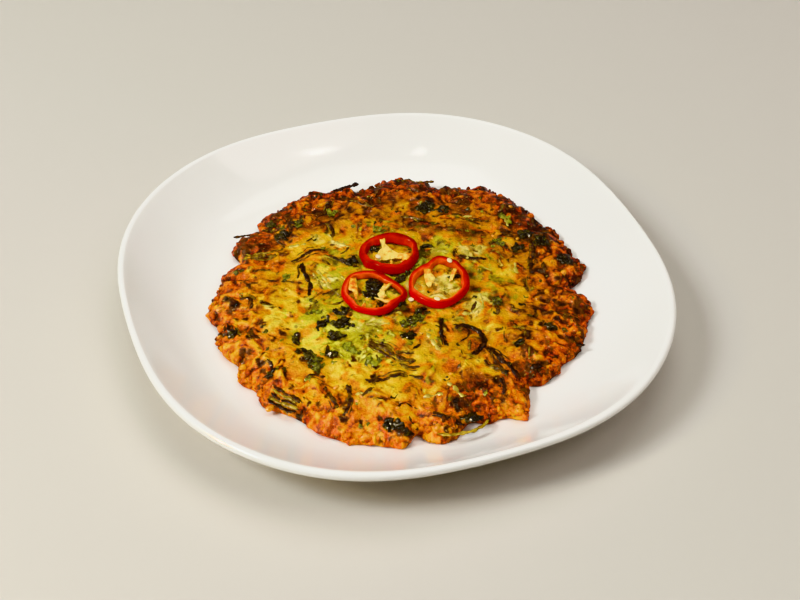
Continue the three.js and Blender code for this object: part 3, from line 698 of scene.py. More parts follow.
# x, y, length, width (mm), how charred (0 olive, 1 black), and its headings from start to end (degrees).
SHREDS = [
    (-47.7, 12.4, 18.5, 2.3, 0.85, 40, 23), (-42.7, 10.6, 23, 2.4, 0.95, -79, -61, -106),
    (-29.5, 16.8, 15, 2.1, 0.8, -33, -21), (22.4, -24, 18, 2.1, 0.95, -111, -90, -71, -62),
    (27.6, -28.9, 29, 3, 1, 34, -3, -31, -72, -100, -129, -148), (41.7, -40.3, 21.6, 3, 0.95, -53, -50, -52),
    (39.7, -48.4, 12, 2.2, 0.6, -32, -45), (-9, -63.8, 24, 2.4, 0.7, 14, 23, -26),
    (-9.8, -40.5, 23, 3.2, 0.5, -14, -39, -3), (-9.5, -38.2, 16, 1.6, 0.35, -18, -36),
    (-10.5, -43, 15, 1.5, 0.6, -22, -34), (-32, 60.8, 12.5, 2.8, 0.85, -104, -96),
    (64.5, 34.9, 25, 2.6, 0.8, -84, -100, -88), (29.8, 18.8, 13, 2.2, 0.8, -10, 0),
    (28.6, 24.6, 7, 1.8, 0.75, -120, -60), (66.8, 54.7, 10, 2.4, 0.95, -58, -62),
    (-70.2, 18.2, 16, 3.4, 0.45, -12, 4), (-71.9, -29.1, 7.5, 2.6, 0.95, -70, -68),
    (-40.5, -34.7, 6, 2.4, 0.9, -90, -88), (-17.7, -65.3, 17.5, 2.2, 0.75, -66, -90, -125),
    (-26.2, -69.2, 10.5, 2, 0.75, -50, -70), (59, -50.4, 6, 3, 1, 20, 10),
    (59.7, -29.3, 6, 2.4, 0.9, -100, -90),
    (18, -79, 14, 2.4, 0.9, -12, -22), (46.6, -8, 12, 1.8, 0.6, -85, -100), (-64, 6, 8, 1.8, 0.5, 20, -10),
    (-68, -14, 12, 2, 0.7, 30, -60, -120), (-59, -17, 6, 1.8, 0.7, 10, 0), (-20, 58, 10, 1.8, 0.6, -20, -30),
    (2, 50, 12, 1.8, 0.5, -15, -25), (-13, 27, 8, 1.8, 0.7, -60, -80), (44, 30, 14, 1.6, 0.75, 40, -30, -80),
    (-6, -12, 12, 2.6, 0.95, -70, -110), (-8, 8, 14, 1.6, 0.7, -30, -10), (52, -22, 9, 1.6, 0.7, -70, -50),
    (-32, -10, 8, 1.6, 0.6, 30, 10), (4, -52, 9, 1.8, 0.6, -20, 10), (-52, -52, 9, 1.8, 0.8, -50, -80),
    (-46, 47, 12, 2, 0.8, -60, -120, -200), (-50, 44, 10, 1.8, 0.7, -110, -60),
    (-33, 42, 12, 2, 0.65, -40, -110),
    (-3, -22, 8, 1.7, 0.7, 20, 40), (10, -46, 9, 1.6, 0.6, 160, 190), (35, 47, 10, 2, 0.6, 20, -20),
    (24, 40, 8, 1.8, 0.6, -20, 10), (50, 40, 8, 2, 0.7, -60, -20), (60, 6, 9, 1.6, 0.6, -100, -70),
    (-58, 20, 7, 1.6, 0.6, 10, 40), (-62, -34, 8, 1.8, 0.7, -60, -30), (-35, -62, 8, 1.8, 0.7, 30, -10),
    (46, -58, 9, 2, 0.8, -60, -100), (62, -20, 8, 1.8, 0.8, 60, 100), (70, 10, 7, 1.8, 0.8, 120, 80),
]
# Strands that reach out past the rim, with the same values.
RIM_SHREDS = [
    (-60, 38.5, 17.5, 1.6, 0.7, -165, -168), (2, 80, 17, 1.8, 0.55, 18, 8),
    (-33, 71.8, 16, 2.6, 0.95, 30, 34), (66, 55, 12, 2.4, 0.95, -58, -64),
    (20, -88, 25, 1.5, 0.05, -22, 22, 64), (78, -30, 7, 2.2, 0.95, -28, -26),
    (57, 64, 7, 1, 0.5, 40, -60), (79, 26, 9, 3, 0.95, -60, -80),
]
LOOSE_SHREDS = 60
HANGING_HEIGHT = 5.2
PAN_BROWNING = 0.16


def strand(path, heights, width, thick, sides=8):
    """A limp strand along a path, of uneven width and with pinched ends: its points and faces."""
    count = len(path)
    ahead = np.gradient(path, axis=0)
    ahead /= np.linalg.norm(ahead, axis=1)[:, None]
    share = np.linspace(0, 1, count)
    pinch = np.clip(np.minimum(share, 1 - share) * count / 2.5, 0.12, 1) ** 0.5
    pinch = pinch * (1 + 0.45 * swirl(path[:, 0], path[:, 1], 2.4, 83))
    around = np.arange(sides) * 2 * math.pi / sides
    across = width / 2 * pinch[:, None] * np.cos(around)
    up = thick / 2 * pinch[:, None] * np.sin(around)
    points = np.stack([
        path[:, 0:1] - ahead[:, 1:2] * across,
        path[:, 1:2] + ahead[:, 0:1] * across,
        heights[:, None] + up], 2).reshape(-1, 3)
    points += 0.17 * width * np.stack([
        swirl(points[:, 0], points[:, 1], 0.9, seed) for seed in (84, 85, 86)], 1)
    faces = []
    for n in range(count - 1):
        for k in range(sides):
            a, b = n * sides + k, n * sides + (k + 1) % sides
            faces.append([a, b, b + sides, a + sides])
    faces.append(list(range(sides))[::-1])
    faces.append([(count - 1) * sides + k for k in range(sides)])
    return points, faces


def lay_shred(x, y, length, width, char, *headings, past_rim=False):
    """One shred: it follows the top and dips into it here and there, or hangs out past the rim."""
    path = wander(x, y, length, *headings)
    path = path + 0.4 * np.stack([swirl(*path.T, 3, 87), swirl(*path.T, 3, 88)], 1)
    heights = top_height(path[:, 0], path[:, 1])
    heights = np.convolve(np.pad(heights, 2, "edge"), np.ones(5) / 5, "valid")
    heights += 0.04 * width + 0.3 * swirl(path[:, 0], path[:, 1], 4, 89)
    if past_rim:
        inside = share_at(path[:, 0], path[:, 1]) < TOP_EDGE
        level = heights[inside].mean() if inside.any() else heights.max()
        hanging = plate_top(path[:, 0], path[:, 1]) + HANGING_HEIGHT
        heights = np.where(inside, heights, np.minimum(level, hanging))
    cells, near = under_strand(path, 1.5 * width)
    browning_and_shade[cells] += PAN_BROWNING * char * near
    points, faces = strand(path, heights, width, 0.42 * width)
    return points, faces, {"charred": char + 0.3 * swirl(points[:, 0], points[:, 1], 2.5, 81)}


# Fried fern and scallion strips: olive brown where soft, to a near black that still glints with oil.
# Fine grooves run along each strip; they are drawn a little coarser than life, so that they show.
shred_finish, tree, where = new_material("charred_bracken")
charred_here = add(tree, "ShaderNodeAttribute", out="Fac", attribute_name="charred")
blotch = add(tree, "ShaderNodeTexNoise", {
    "Vector": where, "Scale": 1 / (1.5 * MM), "Detail": 3}, normalize=False)
groove = add(tree, "ShaderNodeTexNoise", {"Vector": where, "Scale": 1 / (0.6 * MM), "Detail": 2})
tone = add(tree, "ShaderNodeMath", {0: blotch, 1: 0.4, 2: charred_here}, operation="MULTIPLY_ADD")
colour = add(tree, "ShaderNodeValToRGB", {"Fac": tone}, stops=[
    (0.0, "#B89C34"), (0.25, "#8A6A16"), (0.5, "#5E3A0E"), (0.75, "#381606"), (1.0, "#1E0A04")])
wet = add(tree, "ShaderNodeMapRange", {
    "Value": blotch, "From Min": -0.5, "From Max": 0.5, "To Min": 0.2, "To Max": 0.45})
rough = add(tree, "ShaderNodeBump", {"Height": groove, "Strength": 0.8, "Distance": 0.35 * MM})
cover(tree, add(tree, "ShaderNodeBsdfPrincipled", {
    "Base Color": colour, "Roughness": wet, "IOR": 1.42, "Specular IOR Level": 0.05, "Normal": rough,
    "Coat Weight": 0.4, "Coat Roughness": 0.12, "Coat Normal": rough}))

random = np.random.default_rng(9)
shreds = [lay_shred(*values, past_rim=True) for values in RIM_SHREDS]
for x, y, length, width, char, *headings in SHREDS:
    shreds.append(lay_shred(x, y, length, 0.85 * width, char, *headings))
    # A thinner thread frays from each edge of the strand.
    for side in (-1, 1):
        edge = math.radians(headings[0] + 90 * side)
        aside = random.uniform(0.35, 0.6) * width
        spread = random.uniform(-14, 14)
        shreds.append(lay_shred(
            x + aside * math.cos(edge), y + aside * math.sin(edge),
            length * random.uniform(0.5, 0.95), width * random.uniform(0.25, 0.42),
            char - random.uniform(0, 0.4), *(heading + spread for heading in headings)))
for n in range(LOOSE_SHREDS):
    x, y = anywhere(0.93, random)
    heading = 360 * random.random()
    shreds.append(lay_shred(
        x, y, random.uniform(2, 7), random.uniform(0.8, 1.6), random.uniform(0.2, 0.85),
        heading, heading + random.uniform(-60, 60)))
shred_points, shred_faces, shred_masks = gather(shreds)
make_piece("shreds_of_bracken", shred_points, shred_faces, shred_finish, shred_masks)


# Scallion leaves
# Cut green leaf that crumpled in the pan: thin folded flakes in clumps, blackened where they touched it.

# x, y, length, width (mm), turn (degrees), how charred (0 green, 1 black).
LEAF_CLUMPS = [
    (-22.6, -20.4, 6, 5, 20, 0.9), (-30, -27.5, 7, 4, 60, 0.9), (-21, -28.5, 9, 7, 10, 0.9),
    (-24, -36, 8, 4, -10, 0.75), (9.4, -25.3, 13, 6, 45, 0.6), (-33, -52.5, 13, 7, -55, 0.6),
    (-26, -47.8, 7, 3.5, -10, 0.85), (2.8, -86, 11, 5, -25, 1),
    (34, -80, 9, 4.5, -10, 1), (-52.2, 30.2, 7, 5, 0, 0.95), (14, 56, 10, 7, 30, 0.9),
    (22.5, 54, 6, 7, -40, 0.9), (62, 37, 6, 5, 0, 0.95), (69, 33, 7, 6, 20, 0.95),
    (79, 22, 8, 5, -60, 1), (-37.7, -46.6, 7.5, 3.2, 5, 1),
    (-46, 40, 5, 4, 70, 0.5), (7, -35.6, 7, 4, 20, 0.9), (48.5, 32.3, 10, 5, -20, 0.45),
    (-7, -52, 6, 5, 30, 0.35), (-40.5, -37.5, 6, 3, 80, 0.7), (7.3, -90, 6, 3, 0, 1),
    (-50, -60, 5, 3, 70, 0.9),
    (55.5, -38, 4, 3, 60, 0.95), (69.4, -25.7, 5, 4, 10, 0.8), (-8, -6.5, 13, 8, 70, 0.95),
    (-30.7, 50, 5, 4, 20, 0.2), (-7.4, 36.3, 7, 4, -20, 0.3), (11, 14, 6, 4, 30, 0.3), (3, 2, 7, 4, -30, 0.8),
    (-70, -36, 5, 3, 20, 0.9), (46, -12, 5, 3, 90, 0.6), (58, 28, 7, 4, 40, 0.8), (-60, 40, 6, 4, 0, 0.7),
    # The clumps at (14.5, 25.5) and (2, -15), beside the back and left slices, are dark leaf that also stands
    # in for the slices' shade.
    (-9.6, 22.8, 5, 4, 80, 0.9), (14.5, 25.5, 4, 7, -20, 0.9), (-20, 12.5, 8, 4, -20, 0.95),
    (2, -15, 8, 4, 20, 0.95),
    (5.5, 7, 5, 7, -30, 0.75), (27, 4, 4, 4, 0, 0.9), (-9, -3, 6, 9, 10, 1), (13, -19, 7, 3.5, -10, 0.85),
    (-48, 2, 5, 3, 0, 0.4), (-35, -22, 6, 4, 0, 0.3), (53, 50, 6, 4, 0, 0.3), (-18, -44, 8, 5, 0, 0.25),
]
LOOSE_LEAVES = 120
LEAF_THICKNESS = 0.4

soft_relief = soften(relief, 1.2 / MAP_PITCH)


def soft_top_height(x, y):
    """The height of the top without its smallest lumps, on which thin things lie."""
    return body_height(x, y, share_at(x, y)) + read_map(soft_relief, x, y)


def leaf_flake(x, y, rise, length, width, turn, random):
    """A thin crumpled flake with a rounded outline: both faces and the edge between them."""
    rows, columns = 8, 6
    u, v = np.meshgrid(np.linspace(-1, 1, rows), np.linspace(-1, 1, columns), indexing="ij")
    phase = random.uniform(0, 6.3, 4)
    along = u * length / 2
    rounding = np.sqrt(np.maximum(0.12, 1 - 0.85 * u ** 2))
    across = v * width / 2 * rounding * (1 + 0.3 * np.sin(4 * u + phase[3]))
    cosine, sine = math.cos(math.radians(turn)), math.sin(math.radians(turn))
    px, py = x + along * cosine - across * sine, y + along * sine + across * cosine
    crumple = 0.5 * np.sin(2.6 * u + phase[0]) + 0.5 * np.sin(3.4 * v + phase[1]) * np.sin(2 * u + phase[2])
    lean = random.uniform(-0.5, 0.5) * u + random.uniform(-0.6, 0.6) * v
    bed = soft_top_height(px, py)
    heights = bed + rise + 0.2 * width * crumple + 0.25 * width * lean
    upper = np.stack([px, py, heights], 2).reshape(-1, 3)
    lower = upper - [0, 0, LEAF_THICKNESS]
    index = np.arange(rows * columns).reshape(rows, columns)
    count = rows * columns
    faces = np.stack([index[:-1, :-1], index[1:, :-1], index[1:, 1:], index[:-1, 1:]], 2).reshape(-1, 4)
    border = np.concatenate([index[:-1, 0], index[-1, :-1], index[:0:-1, -1], index[0, :0:-1]])
    rim = np.stack([border, border + count, np.roll(border, -1) + count, np.roll(border, -1)], 1)
    return np.concatenate([upper, lower]), np.concatenate([faces, faces[:, ::-1] + count, rim])


def leaf_clump(x, y, length, width, turn, char, random):
    """A heap of small curls, with crumpled flakes over them, on an oval."""
    cells, near = under_strand(np.array([[x, y]]), 0.5 * (length + width))
    browning_and_shade[cells] += PAN_BROWNING * near
    green[cells] += 0.3 * near
    flakes = []
    cosine, sine = math.cos(math.radians(turn)), math.sin(math.radians(turn))
    for n in range(round(length * width / 7) if char > 0.55 else 0):
        away, angle = math.sqrt(random.random()), 6.3 * random.random()
        dx, dy = away * length / 2.4 * math.cos(angle), away * width / 2.4 * math.sin(angle)
        heading, size = 360 * random.random(), random.uniform(1.5, 2.5)
        path = wander(
            x + dx * cosine - dy * sine, y + dx * sine + dy * cosine, random.uniform(2.5, 4.5),
            heading, heading + random.uniform(60, 160))
        path -= (path.mean(0) - path[0])
        heights = soft_top_height(path[:, 0], path[:, 1]) + random.uniform(0.2, 1.4) * (1.1 - 0.6 * away)
        points, faces = strand(path, heights, size, 0.6 * size)
        tone = char + random.uniform(-0.2, 0.1) + 0.3 * swirl(points[:, 0], points[:, 1], 1.8, 92)
        flakes.append((points, faces, {"charred": tone}))
    for n in range(max(3, round(length * width / 6))):
        away, angle = math.sqrt(random.random()), 6.3 * random.random()
        dx, dy = away * length / 2 * math.cos(angle), away * width / 2 * math.sin(angle)
        size = random.uniform(1.3, 3)
        points, faces = leaf_flake(
            x + dx * cosine - dy * sine, y + dx * sine + dy * cosine,
            random.uniform(0.2, 1.1) * (1.1 - 0.6 * away),
            size * random.uniform(1, 1.7), size, 180 * random.random(), random)
        tone = char + random.uniform(-0.35, 0.15) + 0.25 * swirl(points[:, 0], points[:, 1], 2.2, 91)
        flakes.append((points, faces, {"charred": tone}))
    return flakes


# Fried scallion leaf: thin and waxy, from a bright sappy green to a brittle green-black.
leaf_finish, tree, where = new_material("fried_scallion_leaf")
charred_here = add(tree, "ShaderNodeAttribute", out="Fac", attribute_name="charred")
vein = add(tree, "ShaderNodeTexNoise", {
    "Vector": where, "Scale": 1 / (1.2 * MM), "Detail": 3}, normalize=False)
pucker = add(tree, "ShaderNodeTexNoise", {"Vector": where, "Scale": 1 / (0.8 * MM), "Detail": 2})
tone = add(tree, "ShaderNodeMath", {0: vein, 1: 0.4, 2: charred_here}, operation="MULTIPLY_ADD")
colour = add(tree, "ShaderNodeValToRGB", {"Fac": tone}, stops=[
    (0.0, "#A2A232"), (0.25, "#6E6C1C"), (0.5, "#463A0E"), (0.75, "#281C08"), (1.0, "#140A04")])
rough = add(tree, "ShaderNodeBump", {"Height": pucker, "Strength": 0.7, "Distance": 0.35 * MM})
cover(tree, add(tree, "ShaderNodeBsdfPrincipled", {
    "Base Color": colour, "Roughness": 0.4, "IOR": 1.42, "Specular IOR Level": 0.05, "Normal": rough,
    "Coat Weight": 0.5, "Coat Roughness": 0.12, "Coat Normal": rough}))

random = np.random.default_rng(13)
leaves = []
for values in LEAF_CLUMPS:
    leaves += leaf_clump(*values, random)
for n in range(LOOSE_LEAVES):
    x, y = anywhere(0.96, random)
    size = random.uniform(1.2, 2.6)
    points, faces = leaf_flake(
        x, y, 0.1, size * random.uniform(1, 1.7), size, 180 * random.random(), random)
    leaves.append((points, faces, {"charred": random.uniform(0.1, 1)}))
leaf_points, leaf_faces, leaf_masks = gather(leaves)
make_piece("scallion_leaves", leaf_points, leaf_faces, leaf_finish, leaf_masks)


# Scallion stem
# One cut length of scallion stem near the front left, flattened and split by frying into striped strips.

STEM_START = (-49, -69.5)
STEM_LENGTH = 15
STEM_HEADING = -32
# How far across the stem each strip lies, its width (mm) and how charred it is.
STEM_STRIPS = [(-2.3, 1.7, 0.95), (-1.1, 1.5, 0.12), (0, 1.4, 0.85), (1.1, 1.6, 0.15), (2.3, 1.6, 0.7)]

random = np.random.default_rng(15)
stem = []
for aside, width, char in STEM_STRIPS:
    turn = math.radians(STEM_HEADING)
    x, y = STEM_START[0] - aside * math.sin(turn), STEM_START[1] + aside * math.cos(turn)
    bend = STEM_HEADING - 3 * aside
    points, faces, masks = lay_shred(
        x, y, STEM_LENGTH + random.uniform(-3, 1), width, char, bend + 6 * aside, bend)
    points[:, 2] += 0.7 - 0.1 * aside ** 2
    stem.append((points, faces, masks))
stem_points, stem_faces, stem_masks = gather(stem)
make_piece("scallion_stem", stem_points, stem_faces, shred_finish, stem_masks)


# Skin
# The batter's own mesh, made now that each strand and leaf has browned the batter round it in the hot oil.
# The underside lies flat just over the plate, and the side slopes out to it, so that the crust lies close.

batter_points, batter_faces = make_batter()
batter = make_piece("pancake_batter", batter_points, batter_faces, batter_finish, {
    mask: read_map(values, batter_points[:, 0], batter_points[:, 1]) for mask, values in (
        ("crisp", np.maximum(smooth_step(0.66, 0.94, map_share), 0.75 * fried_spots)), ("browning_and_shade", browning_and_shade),
        ("green", green - 0.3 * fried_spots), ("pale", pale - 0.3 * fried_spots), ("charred", charred),
        ("sunk", sunk))})
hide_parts("pancake")


# Sprouts
# Mung bean sprouts, pale and juicy, that lie in the top with the batter drawn over parts of them.

# x, y, length, width (mm), and the headings from start to end (degrees).
SPROUTS = [
    (-35.3, 7.4, 18, 1.9, -58, -66), (-37.5, 5, 12, 1.6, -52, -70), (15.3, -33, 12, 1.9, -70, -50),
    (-50, 24, 9, 2, -4, 4), (-37.5, 33, 7, 2, -84, -92), (-28, 28, 9, 2, -40, -10),
    (33, 24, 8, 2.2, -70, -110), (40, 30, 9, 2.2, -100, -80), (56, 18, 9, 2.4, -100, -70),
    (38, -6, 10, 2, -60, -100), (30, -20, 12, 2, 10, 40), (-12, -28, 12, 2, -10, 20),
    (14, -70, 9, 2, 20, -20), (16, 22, 10, 2, 20, -10), (-59, -18, 7, 1.7, -5, 15),
    (-14, -71, 8, 1.8, 0, 10), (12, 30, 9, 1.8, -30, -60), (24, -62, 12, 2, -60, -30),
    (52, 52, 7, 1.8, -80, -60), (2, -32, 8, 1.9, -50, -70), (-24, 4, 8, 1.8, -60, -40),
]
LOOSE_SPROUTS = 4

# Bean sprout: watery white flesh that lets light in, stained yellow by the frying oil.
sprout_finish, tree, where = new_material("bean_sprout")
stain = add(tree, "ShaderNodeTexNoise", {"Vector": where, "Scale": 1 / (3 * MM), "Detail": 3})
colour = add(tree, "ShaderNodeValToRGB", {"Fac": stain}, stops=[
    (0.32, "#D0C468"), (0.5, "#BEAA42"), (0.68, "#A58828")])
ridge = add(tree, "ShaderNodeTexNoise", {"Vector": where, "Scale": 1 / (0.8 * MM), "Detail": 2})
rough = add(tree, "ShaderNodeBump", {"Height": ridge, "Strength": 0.5, "Distance": 0.3 * MM})
cover(tree, add(tree, "ShaderNodeBsdfPrincipled", {
    "Base Color": colour, "Roughness": 0.36, "IOR": 1.38, "Normal": rough,
    "Subsurface Weight": 0.25, "Subsurface Radius": (1, 0.8, 0.4), "Subsurface Scale": 1.5 * MM,
    "Coat Weight": 0.15, "Coat Roughness": 0.15}))


def lay_sprout(x, y, length, width, *headings):
    """One sprout, sunk to its upper third, with batter over parts of it."""
    path = wander(x, y, length, *headings)
    heights = top_height(path[:, 0], path[:, 1])
    heights = np.convolve(np.pad(heights, 2, "edge"), np.ones(5) / 5, "valid")
    heights += 0.3 * swirl(path[:, 0], path[:, 1], 3.5, 95) - 0.24 * width
    return *strand(path, heights, width, 0.8 * width), {}


random = np.random.default_rng(17)
sprouts = [lay_sprout(*values) for values in SPROUTS]
for n in range(LOOSE_SPROUTS):
    x, y = anywhere(0.75, random)
    heading = 360 * random.random()
    sprouts.append(lay_sprout(
        x, y, random.uniform(4, 9), random.uniform(1.2, 1.9),
        heading, heading + random.uniform(-50, 50)))
sprout_points, sprout_faces, _ = gather(sprouts)
make_piece("bean_sprouts", sprout_points, sprout_faces, sprout_finish)


# Beans
# Split mung beans that escaped the grinding, fried to glossy yellow grains near the rim.

# x, y, rise above the top (mm), length (mm), turn (degrees).
BEANS = [
    (-76, -20, 0.1, 4, 20), (-9, -89.5, -1.4, 6, 10), (20, -85.6, -0.5, 3.4, 70), (-22, -66, 0, 3, 40),
    (78, 12, 0, 4, 60), (-49, -75, -0.6, 4, 30),
]
LOOSE_BEANS = 14

# Fried split bean: a hard waxy grain, yellow to amber, with a toasted edge.
bean_finish, tree, where = new_material("fried_split_bean")
toast = add(tree, "ShaderNodeTexNoise", {"Vector": where, "Scale": 1 / (2.2 * MM), "Detail": 3})
colour = add(tree, "ShaderNodeValToRGB", {"Fac": toast}, stops=[
    (0.3, "#F0B428"), (0.5, "#DE9414"), (0.7, "#B45A0C")])
rough = add(tree, "ShaderNodeBump", {"Height": toast, "Strength": 0.3, "Distance": 0.3 * MM})
cover(tree, add(tree, "ShaderNodeBsdfPrincipled", {
    "Base Color": colour, "Roughness": 0.34, "IOR": 1.42, "Normal": rough,
    "Subsurface Weight": 0.15, "Subsurface Radius": (1, 0.6, 0.2), "Subsurface Scale": 1 * MM,
    "Coat Weight": 0.2, "Coat Roughness": 0.12}))


def lay_bean(x, y, rise, length, turn, random):
    """One grain, half sunk."""
    shape = craggy(ball_points, 0.04, random) * [length / 2, length / 3, length / 3.4]
    cosine, sine = math.cos(math.radians(turn)), math.sin(math.radians(turn))
    points = shape @ np.array([[cosine, sine, 0], [-sine, cosine, 0], [0, 0, 1]])
    return points + [x, y, float(top_height(np.array(x), np.array(y))) + rise], ball_faces, {}


random = np.random.default_rng(19)
beans = [lay_bean(*values, random) for values in BEANS]
for n in range(LOOSE_BEANS):
    share, angle = random.uniform(0.6, 0.97), 2 * math.pi * random.random()
    x, y = on_disc(np.array(share), np.array(angle))
    beans.append(lay_bean(
        float(x), float(y), -0.3, random.uniform(1.4, 2.6), 180 * random.random(), random))
bean_points, bean_faces, _ = gather(beans)
make_piece("split_beans", bean_points, bean_faces, bean_finish)


# Chilli slices
# A ripe red chilli cut across into rings: waxy skin round wet flesh, with tags of pith where the seeds grew.
# The slices lie loose on the top, each at the height that its solid has.

# Millimetres, and degrees round the slice. The outline has a radius at every 45 degrees and bulges (where,
# how far out, width); "heavy" is where the wall is thicker and by what share. Pith outlines and seeds are
# placed from the centre. "scarlet" tells how bright the skin is, "shade" how dark the painted shade down the
# inner side gets, and "amber" where that side is orange, with its width.
CHILLIES = {
    "chilli_back": {
        "centre": (-2.8, 18.3), "wall": 3.1, "thick": 3.4, "lean": (0.3, -1.3), "heavy": (285, 0.3),
        "scarlet": 0.35, "shade": 1.1, "amber": (-15, 50),
        "bulges": [(295, 0.9, 25), (217, 0.8, 10), (240, -0.6, 8), (108, -0.6, 25), (30, 0.6, 10)],
        "radii": (14, 14.4, 13.9, 13, 13.8, 12.8, 12.2, 13),
        "pith": [
            [(-4.5, 9.5), (-2, 10), (-1.5, 6.5), (1.5, 2.5), (2.5, -1.5), (1, -5), (-2, -6), (-6, -6.5),
             (-6.5, -4.5), (-5, -3.5), (-5, 0.5), (-2.5, 4.5), (-4, 7)],
            [(1.5, 2.5), (4.5, -0.5), (8, -0.5), (11, -1), (10.5, -4), (6.5, -4.5), (3.5, -4), (1, -5),
             (0.5, -0.5)],
            [(1, -5.5), (2, -5.5), (2, -9), (1, -9.5)],
            [(6.5, -4.5), (10.5, -4), (8, -8), (5.5, -7)]],
        "seeds": [(-4.6, -5, -0.2)],
    },
    "chilli_left": {
        "centre": (-8.6, -9.4), "wall": 3, "thick": 2.7, "lean": (0, -0.3), "heavy": (310, 0.1),
        "scarlet": 0.9, "shade": 1, "amber": (0, 999),
        "bulges": [(300, 1.3, 28), (235, 0.6, 15)],
        "radii": (15.2, 12.3, 14.4, 15.8, 14.7, 13.2, 13.4, 12.3),
        "pith": [
            [(-10.5, 9.5), (-8.5, 9), (-7.5, 4), (-7, 0), (-7, -5.5), (-8, -5), (-8.5, -2), (-9.5, 0),
             (-11.5, 1), (-11.5, 6)],
            [(4.5, 6), (8, 6), (6.5, 4), (5, 2), (3.5, 1), (2.5, 2), (3.5, 4)],
            [(2.5, 2), (5, 2), (5, -1), (6, -2), (4.5, -3.5), (2.5, -2.5), (1.5, -1)],
            [(0, -3), (3, -3.5), (5.5, -5), (9.5, -6), (9, -7), (5, -6.5), (2, -4.5)],
            [(-4.5, -7.5), (-3, -8), (-3, -10.5), (-5, -10)]],
        "seeds": [],
    },
    "chilli_right": {
        "centre": (20.5, -1.3), "wall": 3, "thick": 3.4, "lean": (0, -0.3), "heavy": (270, 0.1),
        "scarlet": 1, "shade": 0.5, "amber": (0, 999),
        "bulges": [(113, -1.4, 15), (60, 0.9, 8), (160, 0.4, 15), (210, 0.7, 10)],
        "radii": (14.1, 15.2, 17.6, 13.3, 13.6, 15.2, 16.2, 13.8),
        "pith": [
            [(-7, 8), (-4, 8.5), (-3, 5.5), (-1.5, 3.5), (-2, 0.5), (-3.5, -3), (-4.5, -4), (-6, -1),
             (-6.5, 3)],
            [(-2, 0.5), (0, -1), (-1, -2), (-2, -1)],
            [(6.5, 9), (8.5, 8.5), (7, 3.5), (6, 1.5), (4.5, 1), (4.5, 2), (5.5, 5.5)]],
        "seeds": [(4.8, 13.2, 0.25), (-0.8, -13.4, 0.1)],
    },
}
STRAY_SEED = (8.2, -11.8)
SEED_LIFT = 0.45
CHILLI_ROUND = 128
MOST_CHILLI_WAVE = 0.18
PAINTED_LIGHT_AT = math.radians(225)


def near_angle(degrees, angle, width):
    """1 at an angle, fading out over a width (degrees) to both sides."""
    return np.exp(-(((degrees - angle + 180) % 360 - 180) / width) ** 2)


def chilli_outline(spec, turns):
    """Points on a smooth closed curve through the slice's eight radii; `turns` runs from 0 to 1."""
    corners = np.radians(45 * np.arange(8))
    known = np.stack([spec["radii"] * np.cos(corners), spec["radii"] * np.sin(corners)], 1)
    place = turns * 8
    n = np.floor(place).astype(int)
    t = (place - n)[:, None]
    before, here, after, last = (known[(n + step) % 8] for step in (-1, 0, 1, 2))
    curve = 0.5 * (2 * here + (after - before) * t + (2 * before - 5 * here + 4 * after - last) * t ** 2
                   + (3 * here - before - 3 * after + last) * t ** 3)
    degrees = np.degrees(np.arctan2(curve[:, 1], curve[:, 0]))
    out = sum(rise * near_angle(degrees, angle, width) for angle, rise, width in spec["bulges"])
    return curve * (1 + out / np.linalg.norm(curve, axis=1))[:, None] + spec["centre"]


